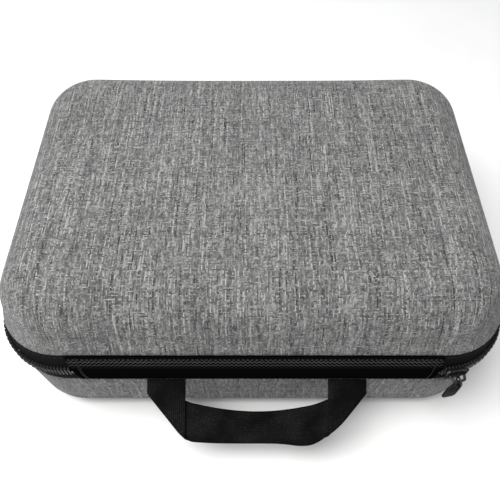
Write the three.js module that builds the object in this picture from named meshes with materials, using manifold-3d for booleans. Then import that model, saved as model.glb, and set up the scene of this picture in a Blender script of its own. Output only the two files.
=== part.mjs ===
// Zippered hard-shell carrying case for a golf launch monitor.
// Millimetres, +Z up. The origin is the centre of the flat underside. X runs along the case, and -Y is the hinge side,
// where the carrying strap is. The case lies flat and shut.
import * as THREE from "three";
import { mergeVertices } from "three/addons/utils/BufferGeometryUtils.js";
import Module from "manifold-3d";

const wasm = await Module();
wasm.setup();

// ---------------------------------------------------------------- driving dimensions

// The outline is a rounded rectangle through the outermost line of the zipper. An inset is a distance inwards from it.
const OUTLINE_W = 330;
const OUTLINE_D = 238;
const OUTLINE_R = 46;
const ARC_STEPS = 6;
const FILLET_STEPS = 4;
const CENTRE_X = OUTLINE_W / 2 - OUTLINE_R;
const CENTRE_Y = OUTLINE_D / 2 - OUTLINE_R;

const CLEARANCE = 0.3;
const COVER_T = 0.8;
const FOAM_T = 3.5;
const LINING_T = 0.8;
const SHELL_DEPTH = COVER_T + CLEARANCE;
const LINING_DEPTH = SHELL_DEPTH + FOAM_T + CLEARANCE;
const ROOM_DEPTH = LINING_DEPTH + LINING_T;

const SPLIT_Z = 75.5;
const TOP_Z = 133;

// Each half is described from its own flat face: its height up to where the cover ends, and its wall's insets.
const BASE = {
  coverH: 58.5,
  rimH: 66,
  fillet: 20,
  wallInset: 4.6,
  lipInset: 2.4,
  place: (h) => h,
};
const LID = {
  coverH: 41,
  rimH: 48,
  fillet: 28.8,
  wallInset: 8.2,
  lipInset: 4.2,
  place: (h) => TOP_Z - h,
};

// The band between the halves: rim, binding, zipper tape, coil and the webbing of the hinge.
const RIM_INSET = 5.8;
const RIM_T = 3;
const BINDING_T = 1;
const TAPE_T = 1;
const TAPE_EDGE = { inset: 4.2, h: 15.6 };
const TAPE_CHAIN = { inset: 2.6, h: 1 };
const COIL = { inset: 0.2, t: 2.1, h: 3 };
const STOP_L = 2.4;
// The webbing isn't quite centred: it ends beside the closed slider on the right. The tapes run on behind its ends.
const HINGE_SPAN = { from: -112, to: 116.6 };
const TAPE_TUCK = 12;
const HINGE_T = 1.6;
// [inset, height from the split] of the hinge webbing's outer face.
const HINGE_CURVE = [
  [1.8, 15.2],
  [0.6, 11],
  [-0.2, 6],
  [-0.6, 1.5],
  [-0.6, -1.5],
  [-0.2, -6],
  [0.6, -11],
  [1.8, -15.2],
];
const BACKING_HALF_W = 104;
const BACKING_T = 0.8;
const BACKING_INSET = 2.6;
const BACKING_H = 8;

// Carrying strap: 25 mm webbing with a leg at each end that folds under on the diagonal into the grip.
const STRAP_W = 25;
const STRAP_T = 1.5;
const STRAP_X = 3;
const LEG_X = 59;
const LEG_SLOPE = THREE.MathUtils.degToRad(31);
const GRIP_SLOPE = THREE.MathUtils.degToRad(57);
const LEG_LENGTH = 6.5;
const FOLD_LENGTH = 30.5;
const GRIP_SAG = 3.6;
const FOLD_GAP = 2.4;
const STRAP_PIVOT = { y: -OUTLINE_D / 2 + 1.5, z: 59.4 };
const ANCHOR = { inset: 3.7, lip: 2.9, top: 66.5, slitTop: 60.2 };

// Zipper slider, its bridge, link and pull tab, parked a little way round the front right corner.
const PARK_ANGLE = THREE.MathUtils.degToRad(11);
const SLIDER = { length: 15, width: 10.4, plateT: 1.8, outer: 0.4, inner: 6.0, innerT: 1.4, noseW: 7, webL: 6, webT: 1.2 };
const BRIDGE = { length: 11, rise: 4.8, bar: 1.5 };
const LINK = { radius: 2.9, wire: 0.55 };
const TAB = { length: 22, width: 9, neck: 5.2, t: 1.4, hole: 1.3 };

// Inside: a cut foam insert on a floor pad, and a pad with a mesh pocket in the lid.
const ROOM_GAP = 0.7;
const PAD_H = 8;
const INSERT_TOP = 65;
const POCKET_Z = 106;
const POCKET_EDGE_Y = 42;
const HEM = { w: 8, t: 2.2 };
const WELLS = [
  { x: -42, y: 25, w: 196, d: 138, r: 14 },
  { x: 105, y: 25, w: 70, d: 138, r: 12 },
  { x: 0, y: -76, w: 236, d: 36, r: 12 },
];
const FINGER_NOTCHES = [
  { x: -42, y: 94 },
  { x: -42, y: -44 },
];
const NOTCH_R = 10;

// ---------------------------------------------------------------- materials

const finish = (color, roughness, metalness = 0) =>
  new THREE.MeshStandardMaterial({ color, roughness, metalness });

const MATERIALS = {
  heather: finish(0x7f8383, 0.9),
  foam: finish(0x2b2c2e, 0.85),
  lining: finish(0x232427, 0.9),
  webbing: finish(0x141415, 0.8),
  tape: finish(0x18191b, 0.8),
  coil: finish(0x1b1c1e, 0.45),
  gunmetal: finish(0x55554f, 0.35, 0.8),
  mesh: finish(0x1c1d1f, 0.8),
};

// ---------------------------------------------------------------- geometry helpers

// A place on the outline: the centre that its normal points away from, and the normal.
function station(cx, cy, degrees) {
  const angle = THREE.MathUtils.degToRad(degrees);
  return { cx, cy, nx: Math.cos(angle), ny: Math.sin(angle) };
}

function pointAt(place, inset, z) {
  const reach = OUTLINE_R - inset;
  return new THREE.Vector3(place.cx + reach * place.nx, place.cy + reach * place.ny, z);
}

function corner(signX, signY, fromDegrees) {
  const places = [];
  for (let i = 0; i <= ARC_STEPS; i++) {
    places.push(station(signX * CENTRE_X, signY * CENTRE_Y, fromDegrees + (90 * i) / ARC_STEPS));
  }
  return places;
}

// The whole outline anticlockwise, which starts and ends at the two front corners, as the zipper does.
const FRONT_RIGHT = corner(1, -1, -90);
const FRONT_LEFT = corner(-1, -1, 180);
const OUTLINE = [...FRONT_RIGHT, ...corner(1, 1, 0), ...corner(-1, 1, 90), ...FRONT_LEFT];

// Skins a row of closed rings into one closed surface. The row either joins up with its own start or has two flat ends,
// which flatten() turns into 2-D points for the triangles.
function skin(rings, flatten) {
  const size = rings[0].length;
  const points = rings.flat();
  const index = [];
  const joined = !flatten;
  const spans = joined ? rings.length : rings.length - 1;
  for (let r = 0; r < spans; r++) {
    const next = (r + 1) % rings.length;
    for (let i = 0; i < size; i++) {
      const j = (i + 1) % size;
      const [a, b, c, d] = [r * size + i, r * size + j, next * size + j, next * size + i];
      index.push(a, b, c, a, c, d);
    }
  }
  if (!joined) {
    const last = (rings.length - 1) * size;
    for (const [ring, start, flip] of [[rings[0], 0, true], [rings[rings.length - 1], last, false]]) {
      const flat = ring.map(flatten);
      const turned = THREE.ShapeUtils.area(flat) < 0;
      for (const [a, b, c] of THREE.ShapeUtils.triangulateShape(turned ? [...flat].reverse() : flat, [])) {
        const [p, q, s] = [a, b, c].map((k) => start + (turned ? size - 1 - k : k));
        index.push(...(flip !== turned ? [p, s, q] : [p, q, s]));
      }
    }
  }
  const geometry = new THREE.BufferGeometry().setFromPoints(points);
  geometry.setIndex(index);
  return facingOut(geometry);
}

// Turns every face round if the surface encloses a negative volume.
function facingOut(geometry) {
  const at = geometry.getAttribute("position");
  const index = geometry.getIndex();
  const corners = [new THREE.Vector3(), new THREE.Vector3(), new THREE.Vector3()];
  let volume = 0;
  for (let i = 0; i < index.count; i += 3) {
    corners.forEach((v, k) => v.fromBufferAttribute(at, index.getX(i + k)));
    volume += corners[0].dot(corners[1].clone().cross(corners[2]));
  }
  if (volume < 0) {
    for (let i = 0; i < index.count; i += 3) {
      const swap = index.getX(i + 1);
      index.setX(i + 1, index.getX(i + 2));
      index.setX(i + 2, swap);
    }
  }
  return geometry;
}

// A solid whose level slices are insets of the outline: profile is [inset, z], with a flat face at each end.
function levels(profile, outline = OUTLINE) {
  const rings = profile.map(([inset, z]) => outline.map((place) => pointAt(place, inset, z)));
  return skin(rings, (p) => new THREE.Vector2(p.x, p.y));
}

// A closed [inset, z] section carried along places on the outline, and all the way round if no places are given.
function carried(section, places) {
  const rings = (places ?? OUTLINE).map((place) => section.map(([inset, z]) => pointAt(place, inset, z)));
  if (!places) return skin(rings);
  const first = places[0];
  const centre = new THREE.Vector3(first.cx, first.cy, 0);
  return skin(rings, (p) => new THREE.Vector2(p.clone().setZ(0).distanceTo(centre), p.z));
}

function asSolid(geometry) {
  const bare = geometry.clone();
  bare.deleteAttribute("normal");
  bare.deleteAttribute("uv");
  const merged = mergeVertices(bare, 1e-4);
  const triVerts = new Uint32Array(merged.index.array);
  return new wasm.Manifold(
    new wasm.Mesh({ numProp: 3, vertProperties: new Float32Array(merged.attributes.position.array), triVerts }),
  );
}

function asGeometry(solid) {
  const mesh = solid.getMesh();
  const geometry = new THREE.BufferGeometry();
  geometry.setAttribute("position", new THREE.BufferAttribute(new Float32Array(mesh.vertProperties), 3));
  geometry.setIndex(new THREE.BufferAttribute(new Uint32Array(mesh.triVerts), 1));
  return geometry;
}

const joinAll = (geometries) => asGeometry(geometries.map(asSolid).reduce((a, b) => a.add(b)));

const cutAll = (geometry, tools) => asGeometry(tools.map(asSolid).reduce((a, b) => a.subtract(b), asSolid(geometry)));

function roundedRectangle(w, d, r) {
  const [x, y] = [w / 2 - r, d / 2 - r];
  const shape = new THREE.Shape();
  shape.absarc(x, y, r, 0, Math.PI / 2);
  shape.absarc(-x, y, r, Math.PI / 2, Math.PI);
  shape.absarc(-x, -y, r, Math.PI, 1.5 * Math.PI);
  shape.absarc(x, -y, r, 1.5 * Math.PI, 2 * Math.PI);
  shape.closePath();
  return shape;
}

const plate = (shape, depth, curveSegments = 4) =>
  new THREE.ExtrudeGeometry(shape, { depth, bevelEnabled: false, curveSegments });

const model = new THREE.Group();

function add(name, geometry, material, parent = model) {
  const mesh = new THREE.Mesh(geometry, MATERIALS[material]);
  mesh.name = name;
  parent.add(mesh);
  return mesh;
}

// ---------------------------------------------------------------- the two moulded halves

// The surface of a half at a depth below its cover, from the end of its wall to its flat face.
function surface(half, depth, top) {
  const wall = [
    [half.lipInset + depth, half.place(top)],
    [half.wallInset + depth, half.place(half.fillet)],
  ];
  const turn = [];
  for (let i = 1; i <= FILLET_STEPS; i++) {
    const angle = (Math.PI / 2) * (i / FILLET_STEPS);
    const radius = half.fillet - depth;
    turn.push([
      half.wallInset + half.fillet - radius * Math.cos(angle),
      half.place(half.fillet - radius * Math.sin(angle)),
    ]);
  }
  return [...wall, ...turn];
}

// A tub-shaped layer between two depths.
function layer(half, outerDepth, innerDepth, top, rim = []) {
  const outside = surface(half, outerDepth, top).reverse();
  const inside = surface(half, innerDepth, top);
  return levels([...outside, ...rim, ...inside]);
}

function foamShell(half) {
  const rim = [
    [RIM_INSET, half.place(half.coverH + CLEARANCE)],
    [RIM_INSET, half.place(half.rimH)],
    [RIM_INSET + RIM_T, half.place(half.rimH)],
    [RIM_INSET + RIM_T, half.place(half.coverH + CLEARANCE)],
  ];
  return layer(half, SHELL_DEPTH, SHELL_DEPTH + FOAM_T, half.coverH + CLEARANCE, rim);
}

// Binding tape folded over the rim and down its inner side.
function rimBinding(half) {
  const outer = RIM_INSET - CLEARANCE;
  const inner = RIM_INSET + RIM_T + CLEARANCE;
  const [low, high] = [half.rimH + CLEARANCE, half.rimH + CLEARANCE + BINDING_T];
  const foot = half.coverH + 2 * CLEARANCE;
  return carried([
    [outer, half.place(low)],
    [outer, half.place(high)],
    [inner + BINDING_T, half.place(high)],
    [inner + BINDING_T, half.place(foot)],
    [inner, half.place(foot)],
    [inner, half.place(low)],
  ]);
}

function mouldedHalf(name, half) {
  add(`${name}_cover`, layer(half, 0, COVER_T, half.coverH), "heather");
  add(`${name}_shell`, foamShell(half), "foam");
  add(`${name}_lining`, layer(half, LINING_DEPTH, ROOM_DEPTH, half.coverH), "lining");
  add(`${name}_rim_binding`, rimBinding(half), "tape");
}

mouldedHalf("base", BASE);
mouldedHalf("lid", LID);

// ---------------------------------------------------------------- zipper chain and hinge webbing

const fromSplit = (side) => (h) => SPLIT_Z + side * h;

// The tapes are tucked in behind the webbing, and the coils begin past the end stops.
const TAPE_RUN = [
  station(CENTRE_X - TAPE_TUCK, -CENTRE_Y, -90),
  ...OUTLINE,
  station(TAPE_TUCK - CENTRE_X, -CENTRE_Y, 270),
];
const COIL_RUN = [
  station(CENTRE_X, -CENTRE_Y, -89),
  ...OUTLINE.slice(1),
  station(HINGE_SPAN.from - STOP_L - 2 * CLEARANCE, -CENTRE_Y, 270),
];

function zipperHalf(name, side) {
  const z = fromSplit(side);
  const chainLow = TAPE_CHAIN.h;
  add(`${name}_zipper_tape`, carried([
    [TAPE_EDGE.inset, z(TAPE_EDGE.h)],
    [TAPE_CHAIN.inset, z(chainLow)],
    [TAPE_CHAIN.inset + TAPE_T, z(chainLow)],
    [TAPE_EDGE.inset + TAPE_T, z(TAPE_EDGE.h)],
  ], TAPE_RUN), "tape");
  add(`${name}_zipper_coil`, carried([
    [COIL.inset, z(chainLow + 0.6)],
    [COIL.inset, z(chainLow + COIL.h - 0.6)],
    [COIL.inset + COIL.t, z(chainLow + COIL.h)],
    [COIL.inset + COIL.t, z(chainLow)],
  ], COIL_RUN), "coil");
}

zipperHalf("upper", 1);
zipperHalf("lower", -1);

// A crimped stop on the lower coil, beside each end of the webbing.
function endStop(name, side, webbingEnd) {
  const z = fromSplit(-1);
  const clip = new THREE.BoxGeometry(STOP_L, COIL.t, COIL.h);
  const mesh = add(name, clip, "gunmetal");
  const x = webbingEnd + side * (CLEARANCE + STOP_L / 2);
  mesh.position.set(x, -OUTLINE_D / 2 + COIL.inset + COIL.t / 2 + 0.1, z(TAPE_CHAIN.h + COIL.h / 2));
}

endStop("right_end_stop", 1, HINGE_SPAN.to);
endStop("left_end_stop", -1, HINGE_SPAN.from);

// A strip along the straight front side, from an [inset, z] section.
function frontStrip(section, fromX, toX) {
  const shape = new THREE.Shape(section.map(([inset, z]) => new THREE.Vector2(inset - OUTLINE_D / 2, z)));
  const axes = new THREE.Matrix4().makeBasis(
    new THREE.Vector3(0, 1, 0),
    new THREE.Vector3(0, 0, 1),
    new THREE.Vector3(1, 0, 0),
  );
  return plate(shape, toX - fromX).applyMatrix4(axes).translate(fromX, 0, 0);
}

function hingeWebbing() {
  const outer = HINGE_CURVE.map(([inset, h]) => [inset, SPLIT_Z + h]);
  const inner = outer.map(([inset, z]) => [inset + HINGE_T, z]).reverse();
  return frontStrip([...outer, ...inner], HINGE_SPAN.from, HINGE_SPAN.to);
}

function hingeBacking() {
  const [low, high] = [SPLIT_Z - BACKING_H, SPLIT_Z + BACKING_H];
  const inner = BACKING_INSET + BACKING_T;
  return frontStrip([
    [BACKING_INSET, low],
    [BACKING_INSET, high],
    [inner, high],
    [inner, low],
  ], -BACKING_HALF_W, BACKING_HALF_W);
}

add("hinge_webbing", hingeWebbing(), "webbing");
add("hinge_backing", hingeBacking(), "lining");

// ---------------------------------------------------------------- carrying strap

// The sewn-in end of the strap: up behind the hinge webbing, and out through the slit below it.
function strapAnchor(name, x) {
  const bottom = ANCHOR.slitTop - STRAP_T + CLEARANCE;
  const inner = ANCHOR.inset + STRAP_T;
  add(name, frontStrip([
    [ANCHOR.inset, ANCHOR.top],
    [ANCHOR.inset, ANCHOR.slitTop],
    [ANCHOR.lip, ANCHOR.slitTop],
    [ANCHOR.lip, bottom],
    [inner, bottom],
    [inner, ANCHOR.top],
  ], x - STRAP_W / 2, x + STRAP_W / 2), "webbing");
}

strapAnchor("left_strap_anchor", STRAP_X - LEG_X);
strapAnchor("right_strap_anchor", STRAP_X + LEG_X);

// A place on a leg's sloping plane: how far down the leg from its seam, and how far above the plane.
function onLeg(down, above) {
  return new THREE.Vector2(
    STRAP_PIVOT.y - down * Math.cos(LEG_SLOPE) - above * Math.sin(LEG_SLOPE),
    STRAP_PIVOT.z - down * Math.sin(LEG_SLOPE) + above * Math.cos(LEG_SLOPE),
  );
}

// One leg: a flat length of webbing that ends on the diagonal where it folds under.
function strapLeg(side) {
  const outer = -STRAP_W / 2;
  const outline = [
    [outer, -0.4],
    [-outer, -0.4],
    [-outer, LEG_LENGTH + FOLD_LENGTH],
    [outer, LEG_LENGTH],
  ].map(([w, s]) => new THREE.Vector2(-side * w, -s));
  const leg = plate(new THREE.Shape(outline), STRAP_T).translate(0, 0, -STRAP_T / 2);
  const place = new THREE.Matrix4().makeRotationX(LEG_SLOPE);
  place.setPosition(side * LEG_X, STRAP_PIVOT.y, STRAP_PIVOT.z);
  return leg.applyMatrix4(place);
}

// The grip's section at a share of the way from its middle to a leg: it sags, and stands steeper, towards the middle.
function gripSection(share) {
  const bow = 1 - share * share;
  const slope = LEG_SLOPE + (GRIP_SLOPE - LEG_SLOPE) * bow;
  const centre = onLeg(LEG_LENGTH + FOLD_LENGTH - STRAP_W / 2 + GRIP_SAG * bow, -FOLD_GAP);
  const up = new THREE.Vector2(Math.cos(slope), Math.sin(slope)).multiplyScalar(STRAP_W / 2);
  const out = new THREE.Vector2(-Math.sin(slope), Math.cos(slope)).multiplyScalar(STRAP_T / 2);
  return [
    centre.clone().sub(up).add(out),
    centre.clone().add(up).add(out),
    centre.clone().add(up).sub(out),
    centre.clone().sub(up).sub(out),
  ];
}

const atX = (x) => (p) => new THREE.Vector3(x, p.x, p.y);
const fromSide = (p) => new THREE.Vector2(p.y, p.z);

function strapGrip() {
  const steps = 10;
  const halfWidth = LEG_X - STRAP_W / 2;
  const rings = [];
  for (let i = 0; i <= steps; i++) {
    const share = (2 * i) / steps - 1;
    rings.push(gripSection(share).map(atX(share * halfWidth)));
  }
  return skin(rings, fromSide);
}

// The webbing folded under a leg, which ends on the leg's diagonal.
function foldedCorner(side) {
  const section = gripSection(1);
  const first = section.map(atX(side * (LEG_X - STRAP_W / 2 - 0.01)));
  const last = section.map((p, i) => {
    const nearCase = i === 1 || i === 2;
    return atX(side * (LEG_X + (nearCase ? STRAP_W / 2 - 4 : -STRAP_W / 2 + 1)))(p);
  });
  return skin([first, last], fromSide);
}

// The bend that joins a leg's diagonal edge to the webbing folded under it.
function foldEdge(side) {
  const half = STRAP_W / 2;
  const [near, far] = [LEG_LENGTH, LEG_LENGTH + FOLD_LENGTH];
  const depth = FOLD_GAP + STRAP_T / 2;
  const section = [
    [0, STRAP_T / 2],
    [1.6, -FOLD_GAP / 2],
    [0, -depth],
    [-1, -depth],
    [-1, STRAP_T / 2],
  ];
  const ends = [[half, near], [-half, far]].map(([across, down]) =>
    section.map(([beyond, above]) =>
      atX(side * (LEG_X + across + 0.6 * beyond))(onLeg(down + 0.6 * beyond, above)),
    ),
  );
  return skin(ends, fromSide);
}

function carryingStrap() {
  const sides = [-1, 1].flatMap((side) => [strapLeg(side), foldEdge(side), foldedCorner(side)]);
  return joinAll([strapGrip(), ...sides]);
}

add("carrying_strap", carryingStrap().translate(STRAP_X, 0, 0), "webbing");

// ---------------------------------------------------------------- slider, link and pull tab

// The slider's group: +X along the zipper, +Y up across it, +Z out from the case, with its origin on the outline.
const slider = new THREE.Group();
const outward = new THREE.Vector3(Math.sin(PARK_ANGLE), -Math.cos(PARK_ANGLE), 0);
const alongZip = new THREE.Vector3(Math.cos(PARK_ANGLE), Math.sin(PARK_ANGLE), 0);
slider.quaternion.setFromRotationMatrix(
  new THREE.Matrix4().makeBasis(alongZip, new THREE.Vector3(0, 0, 1), outward),
);
slider.position.set(CENTRE_X, -CENTRE_Y, SPLIT_Z).addScaledVector(outward, OUTLINE_R);
model.add(slider);

// The slider's plan: wide at its shoulders, narrower at the end that closes the coil.
function sliderPlan() {
  const [half, wide, nose] = [SLIDER.length / 2, SLIDER.width / 2, SLIDER.noseW / 2];
  return new THREE.Shape(
    [
      [-half, -wide + 1.2],
      [-half + 1.5, -wide],
      [half - 5, -wide],
      [half, -nose],
      [half, nose],
      [half - 5, wide],
      [-half + 1.5, wide],
      [-half, wide - 1.2],
    ].map(([x, y]) => new THREE.Vector2(x, y)),
  );
}

function sliderBody() {
  const face = plate(sliderPlan(), SLIDER.plateT).translate(0, 0, SLIDER.outer);
  const back = plate(sliderPlan(), SLIDER.innerT).translate(0, 0, -SLIDER.inner - SLIDER.innerT);
  const webDepth = SLIDER.outer + SLIDER.inner + 0.4;
  const web = new THREE.BoxGeometry(SLIDER.webL, SLIDER.webT, webDepth);
  web.translate(-SLIDER.length / 2 + SLIDER.webL, 0, (SLIDER.outer - SLIDER.inner) / 2);
  return joinAll([face, back, web]);
}

function bridge() {
  const [half, rise] = [BRIDGE.length / 2, BRIDGE.rise];
  const arch = new THREE.Shape(
    [
      [-half, 0],
      [-half + 1.2, rise - 0.6],
      [-half + 2.6, rise],
      [half - 2.6, rise],
      [half - 1.2, rise - 0.6],
      [half, 0],
      [half - 1.6, 0],
      [half - 2.4, rise - BRIDGE.bar - 0.3],
      [half - 3.2, rise - BRIDGE.bar],
      [-half + 3.2, rise - BRIDGE.bar],
      [-half + 2.4, rise - BRIDGE.bar - 0.3],
      [-half + 1.6, 0],
    ].map(([x, y]) => new THREE.Vector2(x, y)),
  );
  return plate(arch, BRIDGE.bar).rotateX(Math.PI / 2).translate(0, BRIDGE.bar / 2, 0);
}

const BRIDGE_FOOT = SLIDER.outer + SLIDER.plateT + CLEARANCE;
const BAR_Z = BRIDGE_FOOT + BRIDGE.rise - BRIDGE.bar / 2;

add("slider_body", sliderBody(), "gunmetal", slider);
add("slider_bridge", bridge(), "gunmetal", slider).position.set(0, 0, BRIDGE_FOOT);

// The link hangs on the bridge's bar, and the tab on the link's lowest point.
const LINK_Y = BRIDGE.bar / 2 + 2 * CLEARANCE - (LINK.radius - LINK.wire);
const link = new THREE.TorusGeometry(LINK.radius, LINK.wire, 8, 16);
link.rotateY(Math.PI / 2);
add("pull_link", link, "gunmetal", slider).position.set(0, LINK_Y, BAR_Z);

function pullTab() {
  const [neck, wide] = [TAB.neck / 2, TAB.width / 2];
  const outline = new THREE.Shape();
  outline.absarc(0, 0, neck, 0, Math.PI);
  outline.lineTo(-wide, -7);
  outline.lineTo(-wide, -TAB.length + 2);
  outline.lineTo(-wide + 1.5, -TAB.length);
  outline.lineTo(wide - 1.5, -TAB.length);
  outline.lineTo(wide, -TAB.length + 2);
  outline.lineTo(wide, -7);
  outline.closePath();
  outline.holes.push(new THREE.Path().absarc(0, 0, TAB.hole, 0, 2 * Math.PI));
  return plate(outline, TAB.t, 6).translate(0, 0, -TAB.t / 2);
}

const TAB_Y = LINK_Y - LINK.radius + LINK.wire + CLEARANCE - TAB.hole;
add("pull_tab", pullTab(), "gunmetal", slider).position.set(0, TAB_Y, BAR_Z);

// ---------------------------------------------------------------- foam insert and floor pad

// A block that fills the room inside a half between two heights from its flat face.
function roomBlock(half, fromH, toH, wallInset) {
  const centre = half.wallInset + half.fillet;
  const radius = half.fillet - ROOM_DEPTH - ROOM_GAP;
  const profile = [];
  const steps = 3;
  const turnTop = Math.min(toH, half.fillet);
  for (let i = 0; i <= steps; i++) {
    const h = fromH + ((turnTop - fromH) * i) / steps;
    const drop = half.fillet - h;
    profile.push([centre - Math.sqrt(Math.max(radius * radius - drop * drop, 0)), half.place(h)]);
  }
  if (toH > half.fillet) profile.push([wallInset, half.place(toH)]);
  return levels(profile);
}

const PAD_FLOOR = ROOM_DEPTH + ROOM_GAP;
const PAD_TOP = PAD_FLOOR + PAD_H;
const INSERT_FLOOR = PAD_TOP + CLEARANCE;
const INSERT_TOP_INSET = 10.8;

add("insert_floor_pad", roomBlock(BASE, PAD_FLOOR, PAD_TOP), "foam");

function foamInsert() {
  const block = roomBlock(BASE, INSERT_FLOOR, INSERT_TOP, INSERT_TOP_INSET);
  const depth = INSERT_TOP - INSERT_FLOOR + 2;
  const wells = WELLS.map(({ x, y, w, d, r }) =>
    plate(roundedRectangle(w, d, r), depth, 8).translate(x, y, INSERT_FLOOR - 1),
  );
  const notches = FINGER_NOTCHES.map(({ x, y }) => {
    const drill = new THREE.CylinderGeometry(NOTCH_R, NOTCH_R, depth, 24).rotateX(Math.PI / 2);
    return drill.translate(x, y, INSERT_FLOOR - 1 + depth / 2);
  });
  return cutAll(block, [...wells, ...notches]);
}

add("foam_insert", foamInsert(), "foam");

// ---------------------------------------------------------------- lid pad and mesh pocket

add("lid_pad", roomBlock(LID, ROOM_DEPTH + ROOM_GAP, ROOM_DEPTH + ROOM_GAP + PAD_H), "foam");

// The pocket is open along its straight edge, which faces away from the hinge.
const POCKET_INSET = 15.2;
const POCKET_OUTLINE = [
  station(-CENTRE_X, POCKET_EDGE_Y, 180),
  ...FRONT_LEFT,
  ...FRONT_RIGHT,
  station(CENTRE_X, POCKET_EDGE_Y, 0),
];
const MESH_T = 0.8;

add("pocket_mesh", levels([[POCKET_INSET, POCKET_Z], [POCKET_INSET, POCKET_Z + MESH_T]], POCKET_OUTLINE), "mesh");

const bindingZ = POCKET_Z - CLEARANCE;
add("pocket_binding", carried([
  [POCKET_INSET, bindingZ],
  [POCKET_INSET + 8, bindingZ],
  [POCKET_INSET + 8, bindingZ - MESH_T],
  [POCKET_INSET, bindingZ - MESH_T],
], POCKET_OUTLINE), "tape");

const hemLength = OUTLINE_W - 2 * POCKET_INSET;
add("pocket_hem", new THREE.BoxGeometry(hemLength, HEM.w, HEM.t), "webbing").position.set(
  0,
  POCKET_EDGE_Y + CLEARANCE + HEM.w / 2,
  POCKET_Z + MESH_T / 2,
);

export default model;
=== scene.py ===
"""Looks for a zippered hard-shell carrying case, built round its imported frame.

Metres throughout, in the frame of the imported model: +X runs along the case, -Y is the hinge side with the
carrying strap, and +Z is up out of the lid. Sizes are written in millimetres and turned into metres by MM.
"""

import logging
import math
from dataclasses import dataclass, field, replace
from enum import Enum
from typing import Any, Optional, Sequence

import bmesh
import bpy
import numpy as np
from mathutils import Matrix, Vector

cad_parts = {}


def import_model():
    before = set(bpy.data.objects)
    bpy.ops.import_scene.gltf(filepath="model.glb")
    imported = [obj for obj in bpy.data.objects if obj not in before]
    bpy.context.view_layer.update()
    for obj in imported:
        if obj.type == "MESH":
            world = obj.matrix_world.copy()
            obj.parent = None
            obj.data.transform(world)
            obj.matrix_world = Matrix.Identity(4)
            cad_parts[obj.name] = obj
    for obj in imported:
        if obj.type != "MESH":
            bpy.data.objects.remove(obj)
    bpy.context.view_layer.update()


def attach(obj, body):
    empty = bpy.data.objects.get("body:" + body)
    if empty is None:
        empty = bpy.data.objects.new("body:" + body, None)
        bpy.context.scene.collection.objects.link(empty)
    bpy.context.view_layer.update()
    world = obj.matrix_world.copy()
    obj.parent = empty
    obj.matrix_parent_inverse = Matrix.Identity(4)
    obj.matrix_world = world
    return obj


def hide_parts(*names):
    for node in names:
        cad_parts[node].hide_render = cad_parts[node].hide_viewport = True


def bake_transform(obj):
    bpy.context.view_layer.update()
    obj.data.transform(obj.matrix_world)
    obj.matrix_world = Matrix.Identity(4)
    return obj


LOG = logging.getLogger("carrying_case")

MM = 0.001

OUTLINE_W = 330.0
OUTLINE_D = 238.0
OUTLINE_R = 46.0
CENTRE_X = OUTLINE_W / 2 - OUTLINE_R
CENTRE_Y = OUTLINE_D / 2 - OUTLINE_R
SPLIT_Z = 75.5
TOP_Z = 133.0

MERGE_DISTANCE = 0.01
FLAT_ANGLE = math.radians(1)
SOFT_EDGE_ANGLE = math.radians(30)
NEARLY_PARALLEL = 0.99
THREAD_PROUD = 0.15

Point = tuple[float, float]
Place = tuple[float, float, float]
Colour = tuple[float, float, float]
Socket = bpy.types.NodeSocket


class Body(str, Enum):
    """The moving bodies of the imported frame."""

    BASE = "base"
    LID = "lid"
    SLIDER = "slider"
    LINK = "link"
    TAB = "tab"
    STRAP = "strap"


class Side(Enum):
    """Which half of the case a piece belongs to, as the sign of its height from the split."""

    LOWER = -1
    UPPER = 1

    @property
    def body(self) -> Body:
        """The body that this half rides on."""
        return Body.BASE if self is Side.LOWER else Body.LID

    def z(self, h: float) -> float:
        """Height above the floor of a height from the split."""
        return SPLIT_Z + self.value * h


# ---------------------------------------------------------------- outline


@dataclass(frozen=True)
class Station:
    """A place on the outline: the centre its normal points away from, the normal, and the way round to it."""

    cx: float
    cy: float
    nx: float
    ny: float
    run: float

    def at(self, inset: float) -> Point:
        """The point at an inset from the outline, in millimetres."""
        reach = OUTLINE_R - inset
        return self.cx + reach * self.nx, self.cy + reach * self.ny


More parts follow.
